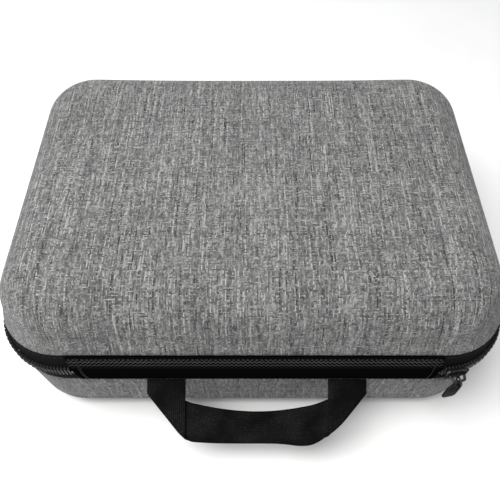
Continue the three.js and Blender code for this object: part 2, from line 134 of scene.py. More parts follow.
@dataclass
class Outline:
    """The rounded rectangle along the zipper's outermost line, anticlockwise from its front right corner."""

    arc_steps: int = 18
    straight_step: float = 11.0

    def corner(self, sign_x: int, sign_y: int, start: float, run: float) -> list[Station]:
        """The stations of one corner.

        Args:
            sign_x: Which end of the case it is at, 1 for the right.
            sign_y: Which long side it is at, -1 for the hinge side.
            start: The direction of its first normal, in degrees.
            run: The way round to its start.

        Returns:
            The stations, its two ends among them.
        """
        places = []
        for i in range(self.arc_steps + 1):
            angle = math.radians(start + 90 * i / self.arc_steps)
            along = run + OUTLINE_R * math.radians(90 * i / self.arc_steps)
            place = Station(sign_x * CENTRE_X, sign_y * CENTRE_Y, math.cos(angle), math.sin(angle), along)
            places.append(place)
        return places

    def straight(self, a: Station, b: Station) -> list[Station]:
        """The stations strictly between two that share a normal.

        Args:
            a: The station before them.
            b: The station after them.

        Returns:
            The stations, evenly spaced.
        """
        length = math.hypot(b.cx - a.cx, b.cy - a.cy)
        count = max(2, round(length / self.straight_step))
        places = []
        for i in range(1, count):
            t = i / count
            cx, cy = a.cx + (b.cx - a.cx) * t, a.cy + (b.cy - a.cy) * t
            places.append(Station(cx, cy, a.nx, a.ny, a.run + length * t))
        return places

    def three_sides(self) -> list[Station]:
        """Both front corners and the three sides between them, which the zipper follows.

        Returns:
            The stations, anticlockwise.
        """
        arc = OUTLINE_R * math.pi / 2
        places = self.corner(1, -1, -90, 0.0)
        run = arc
        for sign_x, sign_y, start, length in (
            (1, 1, 0, 2 * CENTRE_Y),
            (-1, 1, 90, 2 * CENTRE_X),
            (-1, -1, 180, 2 * CENTRE_Y),
        ):
            turned = self.corner(sign_x, sign_y, start, run + length)
            places += self.straight(places[-1], turned[0]) + turned
            run += length + arc
        return places

    def zip_line(self, tuck_right: float, tuck_left: float) -> list[Station]:
        """The three sides, run on along the front towards its middle from both corners.

        Args:
            tuck_right: How far the line runs on past the front right corner, in millimetres.
            tuck_left: The same past the front left corner.

        Returns:
            The stations, whose way round is 0 where the front right corner starts.
        """
        places = self.three_sides()
        first, last = places[0], places[-1]
        before = Station(first.cx - tuck_right, first.cy, first.nx, first.ny, -tuck_right)
        after = Station(last.cx + tuck_left, last.cy, last.nx, last.ny, last.run + tuck_left)
        return [before] + places + [after]

    def all_round(self) -> list[Station]:
        """The whole closed outline.

        Returns:
            The stations, of which the last stands just before the first.
        """
        places = self.three_sides()
        last, first = places[-1], places[0]
        return places + self.straight(last, first)


# ---------------------------------------------------------------- meshes


def rounded_step(value: float, low: float, high: float) -> float:
    """A smooth step from 0 at low to 1 at high."""
    t = min(max((value - low) / (high - low), 0.0), 1.0)
    return t * t * (3 - 2 * t)


def new_object(
    name: str,
    mesh: bpy.types.Mesh,
    material: Optional[bpy.types.Material] = None,
) -> bpy.types.Object:
    """Links a mesh into the scene as an object at the origin.

    Args:
        name: The piece's name.
        mesh: Its mesh, in metres.
        material: The finish for its first slot, if the mesh has none.

    Returns:
        The new object.
    """
    piece = bpy.data.objects.new(name, mesh)
    bpy.context.scene.collection.objects.link(piece)
    if material is not None:
        mesh.materials.clear()
        mesh.materials.append(material)
    return piece


def stand_in(piece: bpy.types.Object, node: str, body: Body) -> bpy.types.Object:
    """Lets a piece stand for a CAD node, and reports it.

    Args:
        piece: The piece.
        node: The CAD node that it replaces.
        body: The body that it rides on.

    Returns:
        The same piece.
    """
    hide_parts(node)
    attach(piece, body.value)
    LOG.info("%s: %d faces", piece.name, len(piece.data.polygons))
    return piece


def grid_mesh(
    name: str,
    rows: np.ndarray,
    uvs: np.ndarray,
    closed_rows: bool,
    capped: bool = False,
    joined: bool = False,
) -> bpy.types.Mesh:
    """A mesh of quads between rows of points, with a UV map in millimetres.

    Args:
        name: The mesh's name.
        rows: Points in millimetres, shaped (rows, columns, 3).
        uvs: UV values in millimetres, shaped (rows + joined, columns + closed_rows, 2).
        closed_rows: Whether each row's last point joins up with its first.
        capped: Whether the first and last rows are filled in with a face each.
        joined: Whether the last row joins up with the first.

    Returns:
        The mesh, in metres, smooth shaded, with its faces turned outwards.
    """
    count, size = rows.shape[:2]
    bm = bmesh.new()
    layer = bm.loops.layers.uv.new("weave")
    points = [[bm.verts.new(Vector(p) * MM) for p in row] for row in rows]
    spans = count if joined else count - 1
    steps = size if closed_rows else size - 1
    for r in range(spans):
        for i in range(steps):
            q, j = (r + 1) % count, (i + 1) % size
            face = bm.faces.new((points[r][i], points[r][j], points[q][j], points[q][i]))
            face.smooth = True
            places = ((r, i), (r, i + 1), (r + 1, i + 1), (r + 1, i))
            for loop, (a, b) in zip(face.loops, places):
                loop[layer].uv = uvs[a][b]
    if capped:
        for row, uv_row in ((points[0], uvs[0]), (points[-1], uvs[count - 1])):
            face = bm.faces.new(row)
            for loop, uv in zip(face.loops, uv_row):
                loop[layer].uv = uv
    bmesh.ops.recalc_face_normals(bm, faces=bm.faces)
    mesh = bpy.data.meshes.new(name)
    bm.to_mesh(mesh)
    bm.free()
    return mesh


def distances(points: Sequence[Sequence[float]]) -> list[float]:
    """How far along a row of points each one lies.

    Args:
        points: The row.

    Returns:
        A distance for each point, from 0, in the points' own units.
    """
    along = [0.0]
    for a, b in zip(points, points[1:]):
        along.append(along[-1] + math.dist(a, b))
    return along


def sweep(
    name: str,
    section: Sequence[Point],
    stations: Sequence[Station],
    closed: bool = False,
) -> bpy.types.Mesh:
    """Carries a closed section of (inset, z) points along the outline.

    Args:
        name: The mesh's name.
        section: The section's points in order, in millimetres.
        stations: The places along the outline.
        closed: Whether the sweep goes all the way round.

    Returns:
        The mesh. Its UV runs along the outline and across the section.
    """
    across = distances([*section, section[0]])
    rows = np.array([[(*s.at(inset), z) for inset, z in section] for s in stations])
    runs = [s.run for s in stations]
    if closed:
        last = stations[-1].at(0)
        first = stations[0].at(0)
        runs.append(runs[-1] + math.dist(last, first))
    uvs = np.array([[(run, v) for v in across] for run in runs])
    return grid_mesh(name, rows, uvs, closed_rows=True, capped=not closed, joined=closed)


def rounded_strip(outer: Sequence[Point], thickness: float, rounds: int = 3) -> list[Point]:
    """A closed section for a strip of cloth with rounded edges.

    Args:
        outer: The outer face's (inset, z) points in order.
        thickness: The cloth's thickness, towards greater inset.
        rounds: Points round each edge.

    Returns:
        The closed section's points.
    """
    points = [np.array(p) for p in outer]
    tangents = [points[min(i + 1, len(points) - 1)] - points[max(i - 1, 0)] for i in range(len(points))]
    sides = []
    for t in tangents:
        normal = np.array((abs(t[1]), -t[0] * np.sign(t[1] or 1)))
        sides.append(normal / np.linalg.norm(normal))
    inner = [p + n * thickness for p, n in zip(points, sides)]

    def edge(a: np.ndarray, b: np.ndarray, tangent: np.ndarray) -> list[Point]:
        """One rounded edge of the strip.

        Args:
            a: The corner that it starts from.
            b: The corner that it ends at.
            tangent: The way it bulges.

        Returns:
            The points between the two corners.
        """
        middle, half = (a + b) / 2, (b - a) / 2
        out = tangent / np.linalg.norm(tangent) * thickness / 2
        angles = [math.pi * (i + 1) / (rounds + 1) for i in range(rounds)]
        return [tuple(middle - half * math.cos(w) + out * math.sin(w)) for w in angles]

    section = [tuple(p) for p in points]
    section += edge(points[-1], inner[-1], tangents[-1])
    section += [tuple(p) for p in reversed(inner)]
    section += edge(inner[0], points[0], -tangents[0])
    return section


def curve_through(points: Sequence[Point], steps: int) -> list[Point]:
    """A smooth curve through points, by Catmull-Rom.

    Args:
        points: The points that it passes through.
        steps: Steps from each of them to the next.

    Returns:
        The curve's points.
    """
    p = [np.array(q, dtype=float) for q in points]
    p = [2 * p[0] - p[1]] + p + [2 * p[-1] - p[-2]]
    found = []
    for i in range(1, len(p) - 2):
        for k in range(steps):
            t = k / steps
            a, b, c, d = p[i - 1], p[i], p[i + 1], p[i + 2]
            q = 2 * b + (c - a) * t + (2 * a - 5 * b + 4 * c - d) * t**2 + (3 * b - a - 3 * c + d) * t**3
            found.append(tuple(q / 2))
    found.append(tuple(p[-2]))
    return found


def add_modifier(piece: bpy.types.Object, kind: str, **settings: Any) -> bpy.types.Modifier:
    """Adds a modifier.

    Args:
        piece: The piece that it works on.
        kind: Its type.
        settings: Its own properties.

    Returns:
        The modifier.
    """
    modifier = piece.modifiers.new(kind.title(), kind)
    for key, value in settings.items():
        setattr(modifier, key, value)
    return modifier


def applied(piece: bpy.types.Object) -> bpy.types.Object:
    """Turns a piece's modifiers into plain mesh.

    Args:
        piece: The piece.

    Returns:
        The same piece, with no modifier left on it.
    """
    graph = bpy.context.evaluated_depsgraph_get()
    mesh = bpy.data.meshes.new_from_object(piece.evaluated_get(graph))
    piece.modifiers.clear()
    old = piece.data
    piece.data = mesh
    bpy.data.meshes.remove(old)
    return piece


def softened_copy(
    node: str,
    name: str,
    material: bpy.types.Material,
    width: float,
    segments: int = 3,
) -> bpy.types.Object:
    """A copy of a CAD node with rounded edges.

    Args:
        node: The CAD node's name.
        name: The new piece's name.
        material: Its finish.
        width: The rounding, in millimetres.
        segments: Faces across each rounded edge.

    Returns:
        The new piece, which still has to be given a body.
    """
    bm = bmesh.new()
    bm.from_mesh(bpy.data.objects[node].data)
    bmesh.ops.remove_doubles(bm, verts=bm.verts, dist=MERGE_DISTANCE * MM)
    bmesh.ops.dissolve_limit(bm, angle_limit=FLAT_ANGLE, verts=bm.verts, edges=bm.edges)
    for face in bm.faces:
        face.smooth = True
    mesh = bpy.data.meshes.new(name)
    bm.to_mesh(mesh)
    bm.free()
    piece = new_object(name, mesh, material)
    add_modifier(
        piece,
        "BEVEL",
        width=width * MM,
        segments=segments,
        limit_method="ANGLE",
        angle_limit=SOFT_EDGE_ANGLE,
        harden_normals=True,
    )
    return applied(piece)


# ---------------------------------------------------------------- finishes


class Shader:
    """A material's node tree, with short calls for the nodes that the finishes use."""

    def __init__(self, name: str) -> None:
        """Starts a material that holds only its shader and output.

        Args:
            name: The material's name.
        """
        self.material = bpy.data.materials.new(name)
        self.material.use_nodes = True
        self.tree = self.material.node_tree
        self.bsdf = self.tree.nodes["Principled BSDF"]

    def node(self, kind: str, inputs: dict[Any, Any], **settings: Any) -> bpy.types.Node:
        """Adds a node.

        Args:
            kind: Its type name after "ShaderNode".
            inputs: Values or sockets for its inputs, by name or number.
            settings: Its own properties.

        Returns:
            The node.
        """
        made = self.tree.nodes.new("ShaderNode" + kind)
        for key, value in settings.items():
            setattr(made, key, value)
        for key, value in inputs.items():
            if isinstance(value, bpy.types.NodeSocket):
                self.tree.links.new(value, made.inputs[key])
            else:
                made.inputs[key].default_value = value
        return made

    def math(self, operation: str, a: Any, b: Any = 0.0, clamp: bool = False) -> Socket:
        """One Math node's result."""
        return self.node("Math", {0: a, 1: b}, operation=operation, use_clamp=clamp).outputs[0]

    def times(self, a: Any, b: Any, clamp: bool = False) -> Socket:
        """The product of two values."""
        return self.math("MULTIPLY", a, b, clamp)

    def plus(self, a: Any, b: Any) -> Socket:
        """The sum of two values."""
        return self.math("ADD", a, b)

    def minus(self, a: Any, b: Any) -> Socket:
        """The difference of two values."""
        return self.math("SUBTRACT", a, b)

    def over(self, a: Any, b: Any) -> Socket:
        """One value divided by another."""
        return self.math("DIVIDE", a, b)

    def zigzag(self, value: Socket, half: float) -> Socket:
        """A value that climbs to half a repeat and falls back, again and again."""
        return self.math("PINGPONG", value, half)

    def join(self, x: Any = 0.0, y: Any = 0.0, z: Any = 0.0) -> Socket:
        """A vector from three numbers."""
        return self.node("CombineXYZ", {0: x, 1: y, 2: z}).outputs[0]

    def weave_mm(self) -> tuple[Socket, Socket]:
        """The piece's own UV map, in millimetres."""
        uv = self.node("UVMap", {}, uv_map="weave").outputs[0]
        parts = self.node("SeparateXYZ", {0: uv}).outputs
        return parts[0], parts[1]

    def place_mm(self) -> Socket:
        """Object coordinates in millimetres."""
        place = self.node("TexCoord", {}).outputs["Object"]
        return self.node("VectorMath", {0: place, 1: (1000, 1000, 1000)}, operation="MULTIPLY").outputs[0]

    def noise(self, vector: Socket, scale: float, detail: float = 2.0, roughness: float = 0.5) -> Socket:
        """Smooth noise from 0 to 1, with scale in cycles per millimetre."""
        inputs = {"Vector": vector, "Scale": scale, "Detail": detail, "Roughness": roughness}
        return self.node("TexNoise", inputs).outputs[0]

    def random(self, vector: Socket) -> Socket:
        """A random number from 0 to 1 for each whole-numbered place."""
        return self.node("TexWhiteNoise", {"Vector": vector}, noise_dimensions="3D").outputs["Value"]

    def ramp(self, value: Socket, stops: Sequence[tuple[float, Colour]]) -> Socket:
        """A colour from a value.

        Args:
            value: A socket from 0 to 1.
            stops: Each a place from 0 to 1 and the colour there.

        Returns:
            The colour's socket.
        """
        made = self.node("ValToRGB", {0: value})
        elements = made.color_ramp.elements
        while len(elements) < len(stops):
            elements.new(0.5)
        for element, (place, colour) in zip(elements, stops):
            element.position = place
            element.color = (*colour, 1.0)
        return made.outputs[0]

    def shade(self, value: Socket, dark: Colour, light: Colour) -> Socket:
        """A colour between two as a value goes from 0 to 1."""
        return self.ramp(value, ((0.0, dark), (1.0, light)))

    def stepped(self, value: Socket, low: float, high: float) -> Socket:
        """0 below low and 1 above high, smooth between."""
        inputs = {"Value": value, "From Min": low, "From Max": high}
        return self.node("MapRange", inputs, interpolation_type="SMOOTHSTEP").outputs[0]

    def between(self, value: Socket, low: float, high: float) -> Socket:
        """A 0 to 1 value turned into low to high."""
        return self.node("MapRange", {"Value": value, "To Min": low, "To Max": high}).outputs[0]

    def mixed(self, factor: Any, a: Any, b: Any) -> Socket:
        """One number or another by a factor."""
        return self.node("Mix", {0: factor, 2: a, 3: b}, data_type="FLOAT").outputs[0]

    def finish(
        self,
        colour: Any,
        roughness: Any,
        height: Optional[Socket] = None,
        depth_mm: float = 0.2,
        **fixed: Any,
    ) -> bpy.types.Material:
        """Sets the shader's sockets and gives the material.

        Args:
            colour: Base colour, as a socket or three numbers.
            roughness: Roughness, as a socket or a number.
            height: Bump height from 0 to 1.
            depth_mm: What a height of 1 stands for.
            fixed: Other sockets by name, with _ for a space, each the same all over.

        Returns:
            The material.
        """
        for key, value in (("Base Color", colour), ("Roughness", roughness)):
            if isinstance(value, bpy.types.NodeSocket):
                self.tree.links.new(value, self.bsdf.inputs[key])
            else:
                self.bsdf.inputs[key].default_value = (*value, 1.0) if key == "Base Color" else value
        for key, value in fixed.items():
            self.bsdf.inputs[key.replace("_", " ")].default_value = value
        if height is not None:
            bump = self.node("Bump", {"Height": height, "Distance": depth_mm * MM, "Strength": 1.0})
            self.tree.links.new(bump.outputs[0], self.bsdf.inputs["Normal"])
        return self.material


@dataclass(frozen=True)
class HeatherFabric:
    """Plain-woven polyester of mixed grey yarns, bonded over the moulded shells."""

    pitch: float = 0.8
    warp_slub: float = 9.0
    weft_slub: float = 5.5
    long_slub: float = 26.0
    weft_share: float = 0.4
    pale_above: float = 0.93
    dark_below: float = 0.05
    slub_tone: float = 0.4
    own_share: float = 0.3
    wander: Point = (1.3, 1.0)
    blotch_size: float = 0.22
    grain_size: float = 0.55
    thread_painted_shade: Point = (-0.16, 0.12)
    dark: Colour = (0.022, 0.0226, 0.0222)
    deep: Colour = (0.077, 0.0786, 0.077)
    middle: Colour = (0.133, 0.1352, 0.1325)
    light: Colour = (0.308, 0.311, 0.3045)

    def yarn(self, shader: Shader, index: Socket, along: Socket, slub: float, seed: float) -> Socket:
        """The tone of one set of yarns, each with a tone of its own that drifts along its length.

        Args:
            shader: The material that is being made.
            index: Which yarn of the set it is.
            along: The distance along it, in millimetres.
            slub: The length over which its tone drifts.
            seed: What tells this set from the other.

        Returns:
            The tone from 0 to 1.
        """
        own = shader.random(shader.join(index, seed, 3.0))
        place = shader.plus(shader.over(along, slub), shader.times(own, 17.0))
        drift = shader.noise(shader.join(shader.times(index, 5.3), place, seed), 1.0, 2.0, 0.6)
        drift = shader.stepped(drift, 0.28, 0.72)
        return shader.plus(shader.times(own, self.own_share), shader.times(drift, 1 - self.own_share))

    def build(self) -> bpy.types.Material:
        """Makes the material.

        Returns:
            The material.
        """
        shader = Shader("heather_fabric")
        u, v = shader.weave_mm()
        wander = shader.noise(shader.join(u, v), 0.06, 2.0)
        u = shader.plus(u, shader.times(wander, self.wander[0]))
        v = shader.plus(v, shader.times(wander, self.wander[1]))
        a, b = shader.over(u, self.pitch), shader.over(v, self.pitch)
        column, row = shader.math("FLOOR", a), shader.math("FLOOR", b)
        crossing = shader.random(shader.join(column, row, 5.0))
        warp_shows = shader.math("GREATER_THAN", crossing, self.weft_share)
        warp = self.yarn(shader, column, v, self.warp_slub, 11.0)
        weft = self.yarn(shader, row, u, self.weft_slub, 29.0)
        piece = shader.math("FLOOR", shader.over(v, self.long_slub))
        thick = shader.random(shader.join(column, piece, 41.0))
        pale = shader.math("GREATER_THAN", thick, self.pale_above)
        dark = shader.math("LESS_THAN", thick, self.dark_below)
        warp = shader.plus(warp, shader.times(pale, self.slub_tone))
        warp = shader.minus(warp, shader.times(dark, self.slub_tone))
        tone = shader.mixed(warp_shows, weft, warp)
        cloth = shader.join(u, v)
        blotch = shader.noise(cloth, 0.02, 3.0, 0.6)
        grain = shader.noise(cloth, 0.9, 2.0, 0.8)
        tone = shader.plus(tone, shader.times(shader.minus(blotch, 0.5), self.blotch_size))
        tone = shader.plus(tone, shader.times(shader.minus(grain, 0.5), self.grain_size))
        # Painted shade on each thread: darker at its edges and lighter on its crown, from the same crown
        # profile that drives the bump.
        across = shader.zigzag(a, 0.5)
        along = shader.zigzag(b, 0.5)
        crown = shader.times(shader.mixed(warp_shows, along, across), 2.0)
        crown = shader.stepped(crown, 0.0, 0.85)
        tone = shader.plus(tone, shader.between(crown, *self.thread_painted_shade))
        stops = ((0.0, self.dark), (0.3, self.deep), (0.55, self.middle), (1.0, self.light))
        colour = shader.ramp(tone, stops)
        height = shader.plus(crown, shader.times(tone, 0.4))
        rough = shader.between(grain, 0.78, 0.95)
        return shader.finish(
            colour, rough, height, 0.14, Sheen_Weight=0.1, Sheen_Roughness=0.5, Specular_IOR_Level=0.2
        )


@dataclass(frozen=True)
class HerringboneWebbing:
    """Narrow webbing with a raised zigzag weave along its upper edge; its lower half, which rolls over to
    face down, is painted plain near-black as shade.
    """

    repeat: float = 2.8
    row: float = 2.9
    steepness: float = 1.15
    border: float = 0.9
    painted_shade_below: float = 9.6
    fading: float = 5.0
    edge_softness: float = 0.8
    ground: Colour = (0.0014, 0.0014, 0.0015)
    yarn: Colour = (0.095, 0.095, 0.096)

    def build(self) -> bpy.types.Material:
        """Makes the material.

        Returns:
            The material.
        """
        shader = Shader("hinge_webbing_weave")
        u, v = shader.weave_mm()
        zigzag = shader.times(shader.zigzag(u, self.repeat / 2), self.steepness)
        ridge = shader.zigzag(shader.plus(v, zigzag), self.row / 2)
        ridge = shader.over(ridge, self.row / 2)
        grain = shader.noise(shader.join(shader.times(u, 3.0), v), 1.1, 2.0)
        # Painted shade: the raised weave fades out down the strip, so the lower half, which faces down, stays
        # plain near-black.
        upper = shader.stepped(v, self.painted_shade_below + self.edge_softness, self.painted_shade_below - self.fading)
        upper = shader.times(upper, shader.stepped(v, self.border - 0.3, self.border + 0.3))
        raised = shader.times(shader.stepped(ridge, 0.5, 0.85), upper)
        tone = shader.times(raised, shader.between(grain, 0.4, 1.1))
        fade = shader.noise(shader.join(u, 0.0), 0.035, 2.0)
        tone = shader.times(tone, shader.between(fade, 0.45, 1.3), clamp=True)
        pick = shader.zigzag(shader.plus(u, v), 0.6)
        tone = shader.plus(tone, shader.times(pick, 0.03))
        colour = shader.shade(tone, self.ground, self.yarn)
        height = shader.plus(raised, shader.times(grain, 0.35))
        return shader.finish(colour, shader.between(grain, 0.6, 0.85), height, 0.35, Specular_IOR_Level=0.0)


@dataclass(frozen=True)
class StrapWebbing:
    """Flat nylon webbing with fine lengthwise ribs."""

    rib: float = 1.25
    pick: float = 0.9
    dark: Colour = (0.0014, 0.0014, 0.0016)
    light: Colour = (0.021, 0.021, 0.022)

    def build(self) -> bpy.types.Material:
        """Makes the material.

        Returns:
            The material.
        """
        shader = Shader("strap_webbing")
        u, v = shader.weave_mm()
        rib = shader.times(shader.zigzag(u, self.rib / 2), 2 / self.rib)
        column = shader.math("FLOOR", shader.over(u, self.rib))
        pick = shader.plus(v, shader.times(column, self.pick / 2))
        pick = shader.times(shader.zigzag(pick, self.pick / 2), 2 / self.pick)
        fuzz = shader.noise(shader.join(u, v), 1.3, 3.0, 0.65)
        worn = shader.stepped(shader.noise(shader.join(u, v), 0.035, 2.0), 0.3, 0.7)
        height = shader.plus(shader.times(rib, 0.6), shader.times(pick, 0.4))
        speck = shader.stepped(shader.noise(shader.join(u, v), 0.55, 2.0, 0.8), 0.52, 0.72)
        tone = shader.times(height, shader.between(fuzz, 0.2, 1.2))
        tone = shader.plus(tone, shader.times(speck, 0.55))
        tone = shader.times(tone, shader.between(worn, 0.3, 1.25), clamp=True)
        colour = shader.shade(tone, self.dark, self.light)
        return shader.finish(colour, shader.between(fuzz, 0.62, 0.9), height, 0.22, Specular_IOR_Level=0.0)


@dataclass(frozen=True)
class ZipperTape:
    """Closely woven black polyester tape with a faint twill."""

    twill: float = 1.1
    turn: float = 3.0
    dark: Colour = (0.0022, 0.0023, 0.0025)
    light: Colour = (0.015, 0.0155, 0.0165)

    def build(self) -> bpy.types.Material:
        """Makes the material.

        Returns:
            The material.
        """
        shader = Shader("zipper_tape_twill")
        u, v = shader.weave_mm()
        diagonal = shader.plus(u, shader.zigzag(v, self.turn))
        twill = shader.times(shader.zigzag(diagonal, self.twill / 2), 2 / self.twill)
        fuzz = shader.noise(shader.join(u, v), 1.6, 2.0, 0.6)
        tone = shader.times(twill, shader.between(fuzz, 0.3, 1.2), clamp=True)
        colour = shader.shade(tone, self.dark, self.light)
        return shader.finish(colour, shader.between(fuzz, 0.65, 0.9), twill, 0.15, Specular_IOR_Level=0.02)


@dataclass(frozen=True)
class PlainCloth:
    """Fine dark cloth or foam, told apart by its tones, grain and depth."""

    name: str
    dark: Colour
    light: Colour
    grain: float
    depth: float
    sheen: float = 0.0
    roughness: Point = (0.75, 0.95)
    specular: float = 0.1

    def build(self) -> bpy.types.Material:
        """Makes the material.

        Returns:
            The material.
        """
        shader = Shader(self.name)
        place = shader.place_mm()
        cells = shader.noise(place, self.grain, 3.0, 0.7)
        worn = shader.noise(place, 0.03, 2.0)
        tone = shader.times(cells, shader.between(worn, 0.7, 1.2), clamp=True)
        colour = shader.shade(shader.stepped(tone, 0.25, 0.75), self.dark, self.light)
        rough = shader.between(cells, *self.roughness)
        return shader.finish(
            colour, rough, cells, self.depth, Sheen_Weight=self.sheen, Specular_IOR_Level=self.specular
        )


@dataclass(frozen=True)
class PocketMesh:
    """Knitted mesh: a regular lattice of small holes in a dark stretch cloth."""

    pitch: float = 3.0
    row_share: float = 0.75
    hole: Point = (0.24, 0.36)
    dark: Colour = (0.002, 0.002, 0.002)
    light: Colour = (0.045, 0.046, 0.049)

    def build(self) -> bpy.types.Material:
        """Makes the material.

        Returns:
            The material.
        """
        shader = Shader("pocket_mesh_knit")
        u, v = shader.weave_mm()
        row = shader.over(v, self.pitch * self.row_share)
        stagger = shader.times(shader.zigzag(shader.math("FLOOR", row), 1.0), 0.5)
        column = shader.plus(shader.over(u, self.pitch), stagger)
        a = shader.minus(shader.math("FRACT", column), 0.5)
        b = shader.minus(shader.math("FRACT", row), 0.5)
        near = shader.math("SQRT", shader.plus(shader.times(a, a), shader.times(b, b)))
        strand = shader.stepped(near, *self.hole)
        colour = shader.shade(strand, self.dark, self.light)
        return shader.finish(colour, 0.8, strand, 0.6, Sheen_Weight=0.2)


@dataclass(frozen=True)
class DarkMetal:
    """Die-cast zinc with a dark gunmetal plating, rubbed a little brighter in places."""

    dark: Colour = (0.042, 0.043, 0.044)
    light: Colour = (0.105, 0.107, 0.109)
    edge: tuple[float, float, float, float] = (0.3, 0.3, 0.29, 1.0)

    def build(self) -> bpy.types.Material:
        """Makes the material.

        Returns:
            The material.
        """
        shader = Shader("gunmetal_plating")
        place = shader.place_mm()
        rub = shader.noise(place, 0.5, 4.0, 0.6)
        fine = shader.noise(place, 6.0, 2.0)
        colour = shader.shade(shader.stepped(rub, 0.4, 0.8), self.dark, self.light)
        rough = shader.between(shader.times(rub, fine), 0.22, 0.6)
        return shader.finish(colour, rough, fine, 0.012, Metallic=1.0, Specular_Tint=self.edge)


@dataclass(frozen=True)
class CoilNylon:
    """Smooth black nylon filament of the zipper coil."""

    dark: Colour = (0.003, 0.0031, 0.0034)
    light: Colour = (0.017, 0.0175, 0.019)

    def build(self) -> bpy.types.Material:
        """Makes the material.

        Returns:
            The material.
        """
        shader = Shader("coil_nylon")
        place = shader.place_mm()
        rub = shader.noise(place, 0.35, 3.0)
        colour = shader.shade(rub, self.dark, self.light)
        return shader.finish(colour, shader.between(rub, 0.3, 0.5), None, Specular_IOR_Level=0.3)


@dataclass(frozen=True)
class StudioFloor:
    """Pale, plain paper."""

    dark: Colour = (0.75, 0.75, 0.75)
    light: Colour = (0.79, 0.79, 0.79)

    def build(self) -> bpy.types.Material:
        """Makes the material.

        Returns:
            The material.
        """
        shader = Shader("studio_floor")
        fleck = shader.noise(shader.place_mm(), 0.02, 2.0)
        return shader.finish(shader.shade(fleck, self.dark, self.light), 0.9)


class Finish(Enum):
    """Every finish on the case."""

    HEATHER = HeatherFabric()
    HINGE = HerringboneWebbing()
    STRAP = StrapWebbing()
    TAPE = ZipperTape()
    COIL = CoilNylon()
    METAL = DarkMetal()
    MESH = PocketMesh()
    LINING = PlainCloth("brushed_lining", (0.011, 0.0112, 0.0125), (0.035, 0.0355, 0.039), 1.4, 0.12, 0.1)
    SHELL = PlainCloth("moulded_foam", (0.012, 0.012, 0.0125), (0.03, 0.03, 0.031), 0.9, 0.1)
    INSERT = PlainCloth("cut_foam", (0.010, 0.010, 0.0105), (0.034, 0.034, 0.0355), 0.75, 0.3)
    BINDING = PlainCloth("binding_tape", (0.003, 0.003, 0.0032), (0.016, 0.016, 0.017), 2.2, 0.1)
    THREAD = PlainCloth(
        "sewing_thread", (0.004, 0.004, 0.0043), (0.022, 0.022, 0.023), 3.0, 0.05, roughness=(0.5, 0.7)
    )

    @property
    def material(self) -> bpy.types.Material:
        """The finish's one material, built when it is first asked for."""
        if self.name not in _materials:
            _materials[self.name] = self.value.build()
        return _materials[self.name]


_materials: dict[str, bpy.types.Material] = {}


# ---------------------------------------------------------------- repeats along a path


